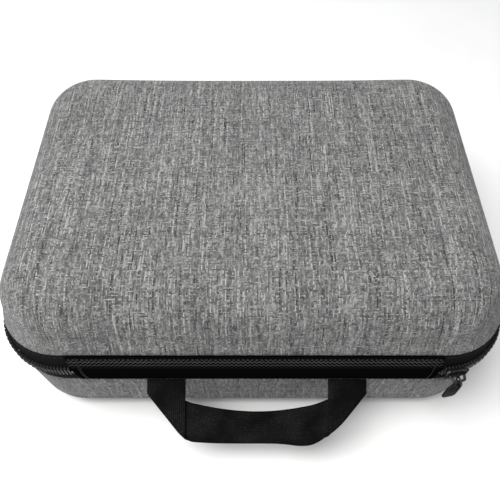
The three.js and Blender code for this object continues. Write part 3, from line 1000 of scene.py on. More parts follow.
class RepeatTree:
    """A Geometry Nodes tree that repeats a small unit along a path."""

    def __init__(self) -> None:
        """Builds the tree with its named inputs."""
        self.tree = bpy.data.node_groups.new("repeat_along_path", "GeometryNodeTree")
        face = self.tree.interface
        for label, kind in (
            ("Path", "Geometry"),
            ("Unit", "Object"),
            ("Spacing", "Float"),
            ("Jitter", "Float"),
            ("Seed", "Int"),
            ("Finish", "Material"),
        ):
            face.new_socket(label, in_out="INPUT", socket_type="NodeSocket" + kind)
        face.new_socket("Geometry", in_out="OUTPUT", socket_type="NodeSocketGeometry")
        start = self.add("NodeGroupInput")
        curve = self.add("GeometryNodeMeshToCurve", {"Mesh": start.outputs["Path"]})
        even = self.add("GeometryNodeResampleCurve", {"Curve": curve.outputs[0]}, mode="LENGTH")
        self.link(start.outputs["Spacing"], even.inputs["Length"])
        tangent = self.add("GeometryNodeInputTangent")
        level = self.add(
            "FunctionNodeAlignRotationToVector", {"Vector": tangent.outputs[0]}, axis="X", pivot_axis="Z"
        )
        turn = self.add(
            "FunctionNodeAlignRotationToVector",
            {"Rotation": level.outputs[0], "Vector": tangent.outputs[0]},
            axis="X",
        )
        unit = self.add("GeometryNodeObjectInfo", {"Object": start.outputs["Unit"]})
        span = self.add("FunctionNodeRandomValue", {"Seed": start.outputs["Seed"]}, data_type="FLOAT_VECTOR")
        up = self.add("ShaderNodeMath", {0: 1.0, 1: start.outputs["Jitter"]}, operation="ADD")
        down = self.add("ShaderNodeMath", {0: 1.0, 1: start.outputs["Jitter"]}, operation="SUBTRACT")
        self.link(down.outputs[0], span.inputs[0])
        self.link(up.outputs[0], span.inputs[1])
        placed = self.add(
            "GeometryNodeInstanceOnPoints",
            {
                "Points": even.outputs[0],
                "Instance": unit.outputs["Geometry"],
                "Rotation": turn.outputs[0],
                "Scale": span.outputs[0],
            },
        )
        real = self.add("GeometryNodeRealizeInstances", {0: placed.outputs[0]})
        dressed = self.add("GeometryNodeSetMaterial", {"Geometry": real.outputs[0]})
        self.link(start.outputs["Finish"], dressed.inputs["Material"])
        end = self.add("NodeGroupOutput")
        self.link(dressed.outputs[0], end.inputs[0])

    def add(self, kind: str, inputs: Optional[dict[Any, Any]] = None, **settings: Any) -> bpy.types.Node:
        """Adds a node.

        Args:
            kind: Its type name.
            inputs: Values or sockets for its inputs, by name or number.
            settings: Its own properties.

        Returns:
            The node.
        """
        made = self.tree.nodes.new(kind)
        for key, value in settings.items():
            setattr(made, key, value)
        for key, value in (inputs or {}).items():
            if isinstance(value, bpy.types.NodeSocket):
                self.link(value, made.inputs[key])
            else:
                made.inputs[key].default_value = value
        return made

    def link(self, a: Socket, b: Socket) -> None:
        """Joins two sockets."""
        self.tree.links.new(a, b)

    def identifier(self, name: str) -> str:
        """The identifier of a named input."""
        items = self.tree.interface.items_tree
        return next(i.identifier for i in items if i.name == name and i.in_out == "INPUT")

    def repeat(
        self,
        name: str,
        paths: Sequence[Sequence[Sequence[float]]],
        unit: bpy.types.Object,
        spacing: float,
        finish: Finish,
        jitter: float = 0.0,
        seed: int = 0,
    ) -> bpy.types.Object:
        """Repeats a unit along paths and gives the result as one plain mesh.

        Args:
            name: The new piece's name.
            paths: Each a row of points in millimetres.
            unit: The object that is repeated, with its length along X.
            spacing: The distance between units, in millimetres.
            finish: The finish of the units.
            jitter: How far each unit's size may stray from 1.
            seed: The seed of that straying.

        Returns:
            The new piece, which still has to be given a body.
        """
        mesh = bpy.data.meshes.new(name + "_path")
        points = [Vector(p) * MM for path in paths for p in path]
        edges, first = [], 0
        for path in paths:
            edges += [(first + i, first + i + 1) for i in range(len(path) - 1)]
            first += len(path)
        mesh.from_pydata(points, edges, [])
        piece = new_object(name, mesh)
        modifier = add_modifier(piece, "NODES", node_group=self.tree)
        values = {"Unit": unit, "Spacing": spacing * MM, "Jitter": jitter, "Seed": seed}
        values["Finish"] = finish.material
        for key, value in values.items():
            modifier[self.identifier(key)] = value
        piece = applied(piece)
        for polygon in piece.data.polygons:
            polygon.use_smooth = True
        return piece


def tube_unit(
    name: str,
    spine: Sequence[Sequence[float]],
    radii: Sequence[float],
    sides: int = 6,
) -> bpy.types.Object:
    """A small closed tube along a spine, kept out of the scene, for a tree to repeat.

    Args:
        name: The unit's name.
        spine: Points in millimetres.
        radii: The tube's radius at each point, in millimetres.
        sides: Faces round it.

    Returns:
        The unit, which isn't linked into the scene.
    """
    points = [Vector(p) for p in spine]
    rows = []
    side = Vector((0, 0, 1))
    for i, (p, radius) in enumerate(zip(points, radii)):
        along = (points[min(i + 1, len(points) - 1)] - points[max(i - 1, 0)]).normalized()
        if abs(side.dot(along)) < NEARLY_PARALLEL:
            side = (side - along * side.dot(along)).normalized()
        else:
            side = Vector((0, 1, 0))
        other = along.cross(side)
        angles = [2 * math.pi * k / sides for k in range(sides)]
        rows.append([p + (side * math.cos(w) + other * math.sin(w)) * radius for w in angles])
    uvs = np.zeros((len(rows), sides + 1, 2))
    mesh = grid_mesh(name, np.array([[tuple(q) for q in row] for row in rows]), uvs, True, capped=True)
    return bpy.data.objects.new(name, mesh)


@dataclass
class Sewing:
    """The thread: short stitches laid along seams."""

    tree: RepeatTree
    length: float = 2.7
    spacing: float = 3.5
    thickness: float = 0.55
    shoulder: float = 0.6
    tip: float = 0.45
    jitter: float = 0.08
    seed: int = 7
    unit: bpy.types.Object = field(init=False)

    def __post_init__(self) -> None:
        """Makes the one stitch that every seam repeats."""
        half = self.length / 2
        spine = [(half * t, 0, 0) for t in (-1, -self.shoulder, 0, self.shoulder, 1)]
        radius = self.thickness / 2
        self.unit = tube_unit("stitch", spine, [radius * t for t in (self.tip, 1, 1, 1, self.tip)])

    def seam(self, name: str, paths: Sequence[Sequence[Sequence[float]]], body: Body) -> None:
        """Sews along paths.

        Args:
            name: The name of the stitches.
            paths: Each a row of points in millimetres.
            body: The body that the stitches ride on.
        """
        piece = self.tree.repeat(
            name, paths, self.unit, self.spacing, Finish.THREAD, self.jitter, self.seed
        )
        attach(piece, body.value)
        LOG.info("%s: %d faces", name, len(piece.data.polygons))


# ---------------------------------------------------------------- the two moulded halves


@dataclass
class MouldedHalf:
    """One half of the case: cover, moulded foam shell, lining and rim binding."""

    name: str
    side: Side
    cover_h: float
    rim_h: float
    fillet: float
    wall_inset: float
    lip_inset: float
    outline: Outline
    dip: float = 0.0
    fillet_steps: int = 12
    wall_steps: int = 5
    flat_steps: int = 10
    cover_t: float = 0.8
    gap: float = 0.3
    foam_t: float = 3.5
    lining_t: float = 0.8
    rim_inset: float = 5.8
    rim_t: float = 3.0
    rim_run: float = 2.0
    pole: float = 0.02
    panel_half: Point = (150.0, 100.0)
    panel_power: float = 1.2
    crosswise: float = 0.25
    ripple: float = 0.22
    ripple_lengths: Point = (23.0, 31.0)
    ripple_starts: Point = (1.3, 0.4)
    settle_from: float = 2.0
    settle_margin: float = 6.0

    def place(self, h: float) -> float:
        """Height above the floor of a height from this half's flat face."""
        return h if self.side is Side.LOWER else TOP_Z - h

    def settled(self, x: float, y: float, z: float, h: float) -> float:
        """The height of a point once the soft panel has settled a little towards its middle.

        Args:
            x: Place along the case.
            y: Place across it.
            z: The height it would have on a true shape.
            h: Its height from the half's flat face.

        Returns:
            The settled height.
        """
        if not self.dip:
            return z
        share = 1 - rounded_step(h, self.settle_from, self.cover_h - self.settle_margin)
        half_x, half_y = self.panel_half
        bow = max(0.0, 1 - (x / half_x) ** 2) ** self.panel_power
        middle = 1 - self.crosswise + self.crosswise * max(0.0, 1 - (y / half_y) ** 2)
        wave_x = math.sin(x / self.ripple_lengths[0] + self.ripple_starts[0])
        wave_y = math.sin(y / self.ripple_lengths[1] + self.ripple_starts[1])
        ripple = self.ripple * wave_x * wave_y
        return z - (self.dip * bow * middle + ripple + self.ripple) * share

    def profile(self, depth: float, top: float) -> list[Place]:
        """One layer's section, from the flat face round the fillet to the wall's end.

        Args:
            depth: How far the layer lies below the cover's face.
            top: The height of the wall's end from the flat face.

        Returns:
            Points of (inset, height from the flat face, distance along the section).
        """
        points = []
        for i in range(self.fillet_steps + 1):
            angle = math.pi / 2 * (1 - i / self.fillet_steps)
            radius = self.fillet - depth
            inset = self.wall_inset + self.fillet - radius * math.cos(angle)
            points.append((inset, self.fillet - radius * math.sin(angle)))
        foot = (self.wall_inset + depth, self.fillet)
        head = (self.lip_inset + depth, top)
        for i in range(1, self.wall_steps + 1):
            t = i / self.wall_steps
            points.append((foot[0] + (head[0] - foot[0]) * t, foot[1] + (head[1] - foot[1]) * t))
        return [(inset, h, run) for (inset, h), run in zip(points, distances(points))]

    def layer(
        self,
        name: str,
        depth: float,
        thickness: float,
        top: float,
        rim: Sequence[Point] = (),
    ) -> bpy.types.Mesh:
        """A tub-shaped layer, closed all round.

        Args:
            name: The mesh's name.
            depth: Its outer face's depth below the cover's.
            thickness: Its own thickness.
            top: The height of its wall's end from the flat face.
            rim: Further (inset, h) points between the outer and the inner wall's ends.

        Returns:
            The mesh, whose UV lies flat on the flat face and runs on down the walls.
        """
        stations = self.outline.all_round()
        flat_inset = self.wall_inset + self.fillet
        edge = [s.at(flat_inset) for s in stations]
        rows, uvs = [], []

        def add_flat(h: float, shares: Sequence[float]) -> None:
            """Adds rings of the flat face.

            Args:
                h: Their height from the flat face.
                shares: The size of each ring, as a share of the face's edge.
            """
            for t in shares:
                ring = [(x * t, y * t) for x, y in edge]
                rows.append([(x, y, self.settled(x, y, self.place(h), h)) for x, y in ring])
                uvs.append(ring + [ring[0]])

        def add_wall(points: Sequence[Place]) -> None:
            """Adds rings of the fillet, wall or rim.

            Args:
                points: Each ring's inset, height and distance along the section.
            """
            for inset, h, run in points:
                ring = [s.at(inset) for s in stations]
                rows.append([(x, y, self.settled(x, y, self.place(h), h)) for x, y in ring])
                flat = [(x + s.nx * run, y + s.ny * run) for (x, y), s in zip(edge, stations)]
                uvs.append(flat + [flat[0]])

        shares = [self.pole + (1 - self.pole) * i / self.flat_steps for i in range(self.flat_steps)]
        outside = self.profile(depth, top)
        inside = self.profile(depth + thickness, top)
        add_flat(depth, shares)
        add_wall(outside)
        run = outside[-1][2]
        for inset, h in rim:
            run += self.rim_run
            add_wall([(inset, h, run)])
        add_wall(list(reversed(inside)))
        add_flat(depth + thickness, list(reversed(shares)))
        return grid_mesh(name, np.array(rows), np.array(uvs), closed_rows=True, capped=True)

    def add(self, name: str, mesh: bpy.types.Mesh, finish: Finish, node: str, slot: str) -> None:
        """Makes a layer's mesh a piece of this half.

        Args:
            name: The piece's name.
            mesh: Its mesh.
            finish: Its finish.
            node: What the CAD node that it stands for is called after the half's own name.
            slot: Not used.
        """
        stand_in(new_object(name, mesh, finish.material), f"{self.name}_{node}", self.side.body)

    def build_cover(self) -> None:
        """The fabric cover, with its cut edge turned in at the band."""
        name = f"{self.name}_cover_fabric"
        edge_inset = self.lip_inset + self.cover_t / 2
        rim = [(self.lip_inset + 0.15, self.cover_h + 0.25), (edge_inset, self.cover_h + 0.4)]
        mesh = self.layer(name, 0.0, self.cover_t, self.cover_h - 0.1, rim)
        self.add(name, mesh, Finish.HEATHER, "cover", "heather")

    def build_shell(self) -> None:
        """The moulded foam with its stepped rim."""
        name = f"{self.name}_foam_shell"
        step = self.cover_h + self.gap + 0.3
        inner = self.rim_inset + self.rim_t
        rim = [(self.rim_inset, step), (self.rim_inset, self.rim_h), (inner, self.rim_h), (inner, step)]
        mesh = self.layer(name, self.cover_t + self.gap, self.foam_t, self.cover_h + self.gap, rim)
        self.add(name, mesh, Finish.SHELL, "shell", "foam")

    def build_lining(self) -> None:
        """The brushed lining."""
        name = f"{self.name}_brushed_lining"
        depth = self.cover_t + self.foam_t + 2 * self.gap
        mesh = self.layer(name, depth, self.lining_t, self.cover_h)
        self.add(name, mesh, Finish.LINING, "lining", "lining")

    def build_binding(self) -> None:
        """The binding tape folded over the rim, as one rounded hook."""
        name = f"{self.name}_binding_tape"
        outer = self.rim_inset - self.gap
        inner = self.rim_inset + self.rim_t + self.gap
        low, high = self.rim_h + self.gap, self.rim_h + self.gap + 1.0
        foot = self.cover_h + 2 * self.gap
        section = [
            (outer, low),
            (outer, low + 0.55),
            (outer + 0.35, high - 0.12),
            (outer + 0.9, high),
            (inner + 0.1, high),
            (inner + 0.65, high - 0.12),
            (inner + 1.0, low + 0.5),
            (inner + 1.0, foot + 0.3),
            (inner + 0.8, foot),
            (inner + 0.2, foot),
            (inner, foot + 0.3),
            (inner, low),
        ]
        placed = [(inset, self.place(h)) for inset, h in section]
        mesh = sweep(name, placed, self.outline.all_round(), closed=True)
        self.add(name, mesh, Finish.BINDING, "rim_binding", "tape")

    def build(self) -> None:
        """Makes every layer, from the outside in."""
        self.build_cover()
        self.build_shell()
        self.build_lining()
        self.build_binding()


# ---------------------------------------------------------------- zipper


@dataclass
class Zipper:
    """Both tapes and coils with their seams, the end stops, the slider, its bridge, link and pull tab."""

    outline: Outline
    tree: RepeatTree
    sewing: Sewing
    tape_t: float = 1.0
    edge_inset: float = 4.2
    edge_h: float = 15.6
    chain_inset: float = 2.6
    chain_h: float = 0.7
    pitch: float = 2.2
    filament: float = 0.56
    tape_tuck: float = 12.0
    coil_start: float = 1.0
    coil_tuck: float = 4.0
    coil_jitter: float = 0.015
    coil_seed: int = 5
    turn_depths: tuple[float, ...] = (1.55, 0.75, 0.62, 0.62, 0.75, 1.2, 1.75, 2.0, 1.9)
    turn_heights: tuple[float, ...] = (4.3, 3.9, 2.2, 0.4, -0.4, -0.9, -0.5, 1.2, 4.3)
    turn_radii: tuple[float, ...] = (0.75, 1.0, 1.0, 1.0, 1.12, 1.15, 1.0, 0.9, 0.7)
    turn_lean: float = 0.12
    cord: Point = (0.15, 3.1)

    def tape_face(self, side: Side) -> list[Point]:
        """The outer face of one tape.

        Args:
            side: The half that the tape is sewn to.

        Returns:
            Points of (inset, z), from its sewn edge to its beaded edge.
        """
        points = [
            (self.edge_inset, self.edge_h),
            (self.edge_inset - 0.5, self.edge_h * 0.75),
            (self.edge_inset - 1.25, self.edge_h * 0.45),
            (self.chain_inset - 0.15, self.edge_h * 0.22),
            (self.chain_inset, self.chain_h),
        ]
        return [(inset, side.z(h)) for inset, h in curve_through(points, 3)]

    def build_tape(self, side: Side) -> None:
        """One woven tape and the seam that holds it to its half.

        Args:
            side: The half that the tape is sewn to.
        """
        half = side.name.lower()
        name = f"{half}_tape"
        stations = self.outline.zip_line(self.tape_tuck, self.tape_tuck)
        section = rounded_strip(self.tape_face(side), self.tape_t)
        piece = new_object(name, sweep(name, section, stations), Finish.TAPE.material)
        stand_in(piece, f"{half}_zipper_tape", side.body)
        path = [(*s.at(self.edge_inset - 0.35), side.z(self.edge_h - 2.0)) for s in stations]
        self.sewing.seam(f"{half}_tape_seam", [path], side.body)

    def build_coil(self, side: Side) -> None:
        """One coil: a loop of filament for each turn, offset by half a pitch from the other coil's.

        Args:
            side: The half whose tape the coil is sewn to.
        """
        half = side.name.lower()
        places = zip(self.turn_depths, self.turn_heights)
        spine = [(self.turn_lean * (k % 2), d, side.value * h) for k, (d, h) in enumerate(places)]
        unit = tube_unit(f"{half}_turn", spine, [self.filament * share for share in self.turn_radii])
        start = self.coil_start + (self.pitch / 2 if side is Side.UPPER else 0.0)
        piece = self.tree.repeat(
            f"{half}_coil_turns",
            [self.coil_path(start)],
            unit,
            self.pitch,
            Finish.COIL,
            self.coil_jitter,
            self.coil_seed,
        )
        stand_in(piece, f"{half}_zipper_coil", side.body)
        inset, h = self.cord
        cord = [(*s.at(inset), side.z(h)) for s in self.outline.three_sides()[1:-1]]
        self.sewing.seam(f"{half}_coil_seam", [cord], side.body)

    def coil_path(self, start: float) -> list[Place]:
        """The coil's path at the split.

        Args:
            start: How far past the start of the front right corner it begins, in millimetres.

        Returns:
            The path's points, in millimetres.
        """
        stations = self.outline.zip_line(0.0, self.coil_tuck)
        turn = start / OUTLINE_R
        head = Station(CENTRE_X, -CENTRE_Y, math.sin(turn), -math.cos(turn), start)
        kept = [head] + [s for s in stations if s.run > start + 0.5]
        return [(*s.at(0.0), SPLIT_Z) for s in kept]

    def build_stops(self) -> None:
        """The crimped stops at both ends."""
        for name in ("left_end_stop", "right_end_stop"):
            crimp = name.replace("end_stop", "crimped_stop")
            piece = softened_copy(name, crimp, Finish.METAL.material, 0.5)
            stand_in(piece, name, Body.BASE)

    def build_slider(self) -> None:
        """The slider with everything that hangs from it."""
        for node, name, body, width, segments in (
            ("slider_body", "slider_casting", Body.SLIDER, 0.55, 3),
            ("slider_bridge", "slider_arch", Body.SLIDER, 0.4, 3),
            ("pull_link", "pull_ring", Body.LINK, 0.05, 1),
            ("pull_tab", "pull_plate", Body.TAB, 0.35, 3),
        ):
            piece = softened_copy(node, name, Finish.METAL.material, width, segments)
            stand_in(piece, node, body)

    def build(self) -> None:
        """Makes the whole zipper."""
        for side in Side:
            self.build_tape(side)
            self.build_coil(side)
        self.build_stops()
        self.build_slider()


# ---------------------------------------------------------------- hinge


@dataclass
class Hinge:
    """The webbing that joins the halves along the front, its backing, and the stitches that hold it."""

    sewing: Sewing
    left_end: float = -111.5
    right_end: float = 116.4
    slant: float = 5.0
    backing_end: float = 104.0
    thickness: float = 1.5
    steps: int = 60
    bend_from: float = 73.5
    bend_to: float = 88.5
    pivot_y: float = -119.5
    backing_inset: float = 2.6
    backing_half: int = 8
    backing_t: float = 0.8
    tack_spacing: float = 2.8
    tack_seed: int = 3

    def face(self) -> list[Point]:
        """The outer face from top to bottom, as (inset, z)."""
        upper = [(2.3, 16.0), (1.2, 12.5), (0.1, 7.5), (-0.55, 1.5)]
        lower = [(-0.55, -2.5), (0.15, -8.0), (1.2, -12.5), (2.2, -15.6)]
        return [(inset, SPLIT_Z + h) for inset, h in curve_through(upper + lower, 4)]

    def strip(
        self,
        name: str,
        face: Sequence[Point],
        thickness: float,
        ends: Point,
        slants: Point,
    ) -> bpy.types.Mesh:
        """A strip along the front, with its ends cut on a slant.

        Args:
            name: The mesh's name.
            face: Its outer face from top to bottom, as (inset, z).
            thickness: Its thickness.
            ends: Where its left and right ends stand at half its height.
            slants: How much longer it is at its top than at its bottom, at its left and its right end.

        Returns:
            The mesh, whose UV runs along the case and down the strip.
        """
        section = rounded_strip(face, thickness)
        top, bottom = face[0][1], face[-1][1]
        across = distances(section)
        across.append(across[-1] + 1.0)
        rows, uvs = [], []
        for i in range(self.steps + 1):
            share = i / self.steps
            row, uv = [], []
            for k, (inset, z) in enumerate(section):
                level = min(max((z - bottom) / (top - bottom), 0.0), 1.0) - 0.5
                left, right = ends[0] - slants[0] * level, ends[1] + slants[1] * level
                x = left + (right - left) * share
                row.append((x, inset - OUTLINE_D / 2, z))
                uv.append((x, across[k]))
            rows.append(row)
            uvs.append(uv + [(uv[0][0], across[-1])])
        return grid_mesh(name, np.array(rows), np.array(uvs), closed_rows=True, capped=True)

    def bent(self, piece: bpy.types.Object) -> None:
        """Bakes a piece's placement into its mesh."""
        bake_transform(piece)

    def build(self) -> None:
        """Makes the hinge."""
        face = self.face()
        ends = (self.left_end, self.right_end)
        mesh = self.strip("hinge_strip", face, self.thickness, ends, (self.slant, self.slant * 0.3))
        webbing = new_object("hinge_strip", mesh, Finish.HINGE.material)
        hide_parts("hinge_webbing")
        self.bent(webbing)
        levels = range(self.backing_half, -self.backing_half - 1, -1)
        back = [(self.backing_inset, SPLIT_Z + level) for level in levels]
        span = (-self.backing_end, self.backing_end)
        back_mesh = self.strip("hinge_backing_strip", back, self.backing_t, span, (0.0, 0.0))
        lined = new_object("hinge_backing_strip", back_mesh, Finish.LINING.material)
        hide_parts("hinge_backing")
        self.bent(lined)
        for name, level, body in (("hinge_top_seam", 2, Body.LID), ("hinge_bottom_seam", -3, Body.BASE)):
            inset, z = face[level]
            y = inset - 0.12 - OUTLINE_D / 2
            path = [(self.left_end + 1, y, z), (self.right_end - 1, y, z)]
            self.sewing.seam(name, [path], body)
        self.build_bar_tacks(face)
        LOG.info("hinge: %d faces", len(webbing.data.polygons))

    def build_bar_tacks(self, face: Sequence[Point]) -> None:
        """The close rows of stitches across the webbing near its ends.

        Args:
            face: The webbing's outer face from top to bottom.
        """
        left, right = self.left_end, self.right_end
        paths = []
        for x, lean in ((left + 4.6, -2.0), (left + 5.7, -2.0), (right - 4.0, 0.4)):
            count = len(face) - 1
            tack = [(x + lean * (0.5 - i / count), *p) for i, p in enumerate(face)]
            paths.append([(u, inset - 0.1 - OUTLINE_D / 2, z) for u, inset, z in tack[1:-1]])
        sewing = self.sewing
        tacks = sewing.tree.repeat(
            "hinge_bar_tacks", paths, sewing.unit, self.tack_spacing, Finish.THREAD, 0.1, self.tack_seed
        )
        self.bent(tacks)


# ---------------------------------------------------------------- carrying strap


@dataclass
class Strap:
    """One length of webbing, folded under on the diagonal at each end of the grip."""

    width: float = 25.0
    thickness: float = 1.5
    shift_x: float = 3.0
    leg_x: float = 59.0
    pivot: Point = (-117.5, 59.4)
    leg_slope: float = math.radians(31)
    grip_slope: float = math.radians(57)
    leg_length: float = 6.5
    fold_length: float = 30.5
    bend: float = 1.2
    columns: int = 14
    leg_rows: int = 14
    fold_rows: int = 8
    grip_rows: int = 46
    slack: float = 1.9
    slack_x: float = 31.0
    slack_reach: float = 11.0
    slack_fall: Point = (18.0, 40.0)
    seam_tuck: float = 0.4
    edge_round: float = 0.3
    left_corner: float = 6.0
    right_corner: float = 15.0

    def fold_down(self, across: float) -> float:
        """How far down the leg the fold begins, at a place across the webbing."""
        share = (across + self.width / 2) / self.width
        return self.leg_length + self.fold_length * share

    def placed(self, across: float, down: float) -> Place:
        """Where a point of the flat webbing lies once folded.

        Args:
            across: Place across the webbing, from its outer edge at minus half the width.
            down: Distance along it from the seam.

        Returns:
            x from the case's middle, distance down the leg's slope, and height above the leg.
        """
        size = math.hypot(self.width, self.fold_length)
        normal = (-self.fold_length / size, self.width / size)
        past = (down - self.fold_down(across)) * normal[1]
        turn = math.pi * self.bend
        if past <= 0:
            moved, above = past, 0.0
        elif past < turn:
            moved = self.bend * math.sin(past / self.bend)
            above = -self.bend * (1 - math.cos(past / self.bend))
        else:
            moved, above = -(past - turn), -2 * self.bend
        x = across + (moved - past) * normal[0] - self.leg_x
        s = down + (moved - past) * normal[1]
        return x, s, above

    def eased(self, x: float, s: float, corner: float) -> float:
        """Draws a point up the slope where the fold's lower corner is rounded.

        Args:
            x: Place along the case, from its middle.
            s: Distance down the leg's slope.
            corner: How softly the diagonal and the lower edge run into each other, in millimetres.

        Returns:
            The new distance down the slope.
        """
        level = self.leg_length + self.fold_length
        diagonal = level + (x + self.leg_x - self.width / 2) * self.fold_length / self.width
        blend = max(corner - abs(level - diagonal), 0.0) / corner
        sharp = max(min(level, diagonal), 1.0)
        return s * (sharp - blend * blend * corner / 4) / sharp

    def hung(self, x: float, s: float, above: float) -> tuple[float, float]:
        """Lets the grip sag and stand steeper towards its middle; the legs stay as they are.

        Args:
            x: Place along the case, from its middle.
            s: Distance down the leg's slope.
            above: Height above the leg.

        Returns:
            The new distance down the slope and the new height above the leg.
        """
        inner = self.leg_x - self.width / 2
        inwards = min(max(x + inner, 0.0), inner)
        if above > -self.bend or inwards <= 0:
            return s, above
        tilt = self.outgoing_slope()
        s -= tilt * inwards * inwards / (2 * inner)
        share = 1 - inwards / inner
        bow = 1 - share * share
        centre = self.leg_length + self.fold_length - self.width / 2
        centre += tilt * (inwards - inwards * inwards / (2 * inner))
        twist = (self.grip_slope - self.leg_slope) * bow
        off, level = s - centre, -2 * self.bend
        rest = above - level
        s = centre + off * math.cos(twist) + rest * math.sin(twist)
        return s, level - off * math.sin(twist) + rest * math.cos(twist)

    def outgoing_slope(self) -> float:
        """How steeply the webbing leaves the fold, as a drop per unit of length."""
        square = self.width**2 + self.fold_length**2
        return (1 - 2 * self.width**2 / square) / (2 * self.width * self.fold_length / square)

    def slackened(self, x: float, y: float, z: float) -> Place:
        """Lets the grip's lower edge hang fuller beside the right fold than beside the left.

        Args:
            x: Place along the case, from the strap's middle.
            y: Place across it.
            z: Height.

        Returns:
            The point's new place.
        """
        fall = (self.pivot[1] - z) / math.sin(self.leg_slope)
        near = math.exp(-(((x - self.slack_x) / self.slack_reach) ** 2))
        near *= rounded_step(fall, *self.slack_fall)
        drop = self.slack * near
        return x, y - drop * math.cos(self.leg_slope), z - drop * math.sin(self.leg_slope)

    def row_downs(self, across: float) -> list[float]:
        """Where one column of the mesh has its rows.

        Args:
            across: The column's place across the webbing.

        Returns:
            Distances along the webbing, from the seam to the grip's middle.
        """
        fold = self.fold_down(across)
        size = math.hypot(self.width, self.fold_length)
        turned = math.pi * self.bend * size / self.width
        tuck = self.seam_tuck
        downs = [-tuck + (fold + tuck) * i / self.leg_rows for i in range(self.leg_rows)]
        downs += [fold + turned * i / self.fold_rows for i in range(self.fold_rows)]
        first = fold + turned
        x0 = self.placed(across, first + 0.01)[0]
        x1 = self.placed(across, first + 10.01)[0]
        rate = (x1 - x0) / 10
        last = first + (0.0 - x0) / rate
        downs += [first + (last - first) * i / self.grip_rows for i in range(self.grip_rows + 1)]
        return downs

    def half(self, corner: float) -> tuple[list[list[Place]], list[list[Point]]]:
        """One half of the strap.

        Args:
            corner: How softly the fold's lower corner is rounded, in millimetres.

        Returns:
            Rows from the left seam to the middle of the grip, and the same rows on the flat webbing.
        """
        across_all = [-self.width / 2 + self.width * c / self.columns for c in range(self.columns + 1)]
        columns = [self.row_downs(a) for a in across_all]
        rows, flat = [], []
        for r in range(len(columns[0])):
            row, uv = [], []
            for across, downs in zip(across_all, columns):
                x, s, above = self.placed(across, downs[r])
                s, above = self.hung(x, self.eased(x, s, corner), above)
                y = self.pivot[0] - s * math.cos(self.leg_slope) - above * math.sin(self.leg_slope)
                z = self.pivot[1] - s * math.sin(self.leg_slope) + above * math.cos(self.leg_slope)
                row.append((x, y, z))
                uv.append((across, downs[r]))
            rows.append(row)
            flat.append(uv)
        return rows, flat

    def build(self) -> None:
        """Makes the strap and its sewn-in ends."""
        left, flat = self.half(self.left_corner)
        mirrored, _ = self.half(self.right_corner)
        middle = [uv[1] for uv in flat[-1]]
        right = [[self.slackened(-x, y, z) for x, y, z in row] for row in reversed(mirrored[:-1])]
        flat_right = [[(a, 2 * m - d) for (a, d), m in zip(uv, middle)] for uv in reversed(flat[:-1])]
        rows = np.array(left + right) + np.array((self.shift_x, 0.0, 0.0))
        mesh = grid_mesh("strap_webbing", rows, np.array(flat + flat_right), closed_rows=False)
        piece = new_object("strap_webbing", mesh, Finish.STRAP.material)
        add_modifier(piece, "SOLIDIFY", thickness=self.thickness * MM, offset=0.0, use_even_offset=True)
        add_modifier(
            piece,
            "BEVEL",
            width=self.edge_round * MM,
            segments=2,
            limit_method="ANGLE",
            angle_limit=math.radians(50),
        )
        stand_in(applied(piece), "carrying_strap", Body.STRAP)
        roots = [f"{side}_strap_root" for side in ("left", "right")]
        for name in roots:
            node = name.replace("root", "anchor")
            root = softened_copy(node, name, Finish.STRAP.material, self.edge_round)
            stand_in(root, node, Body.BASE)


# ---------------------------------------------------------------- inside


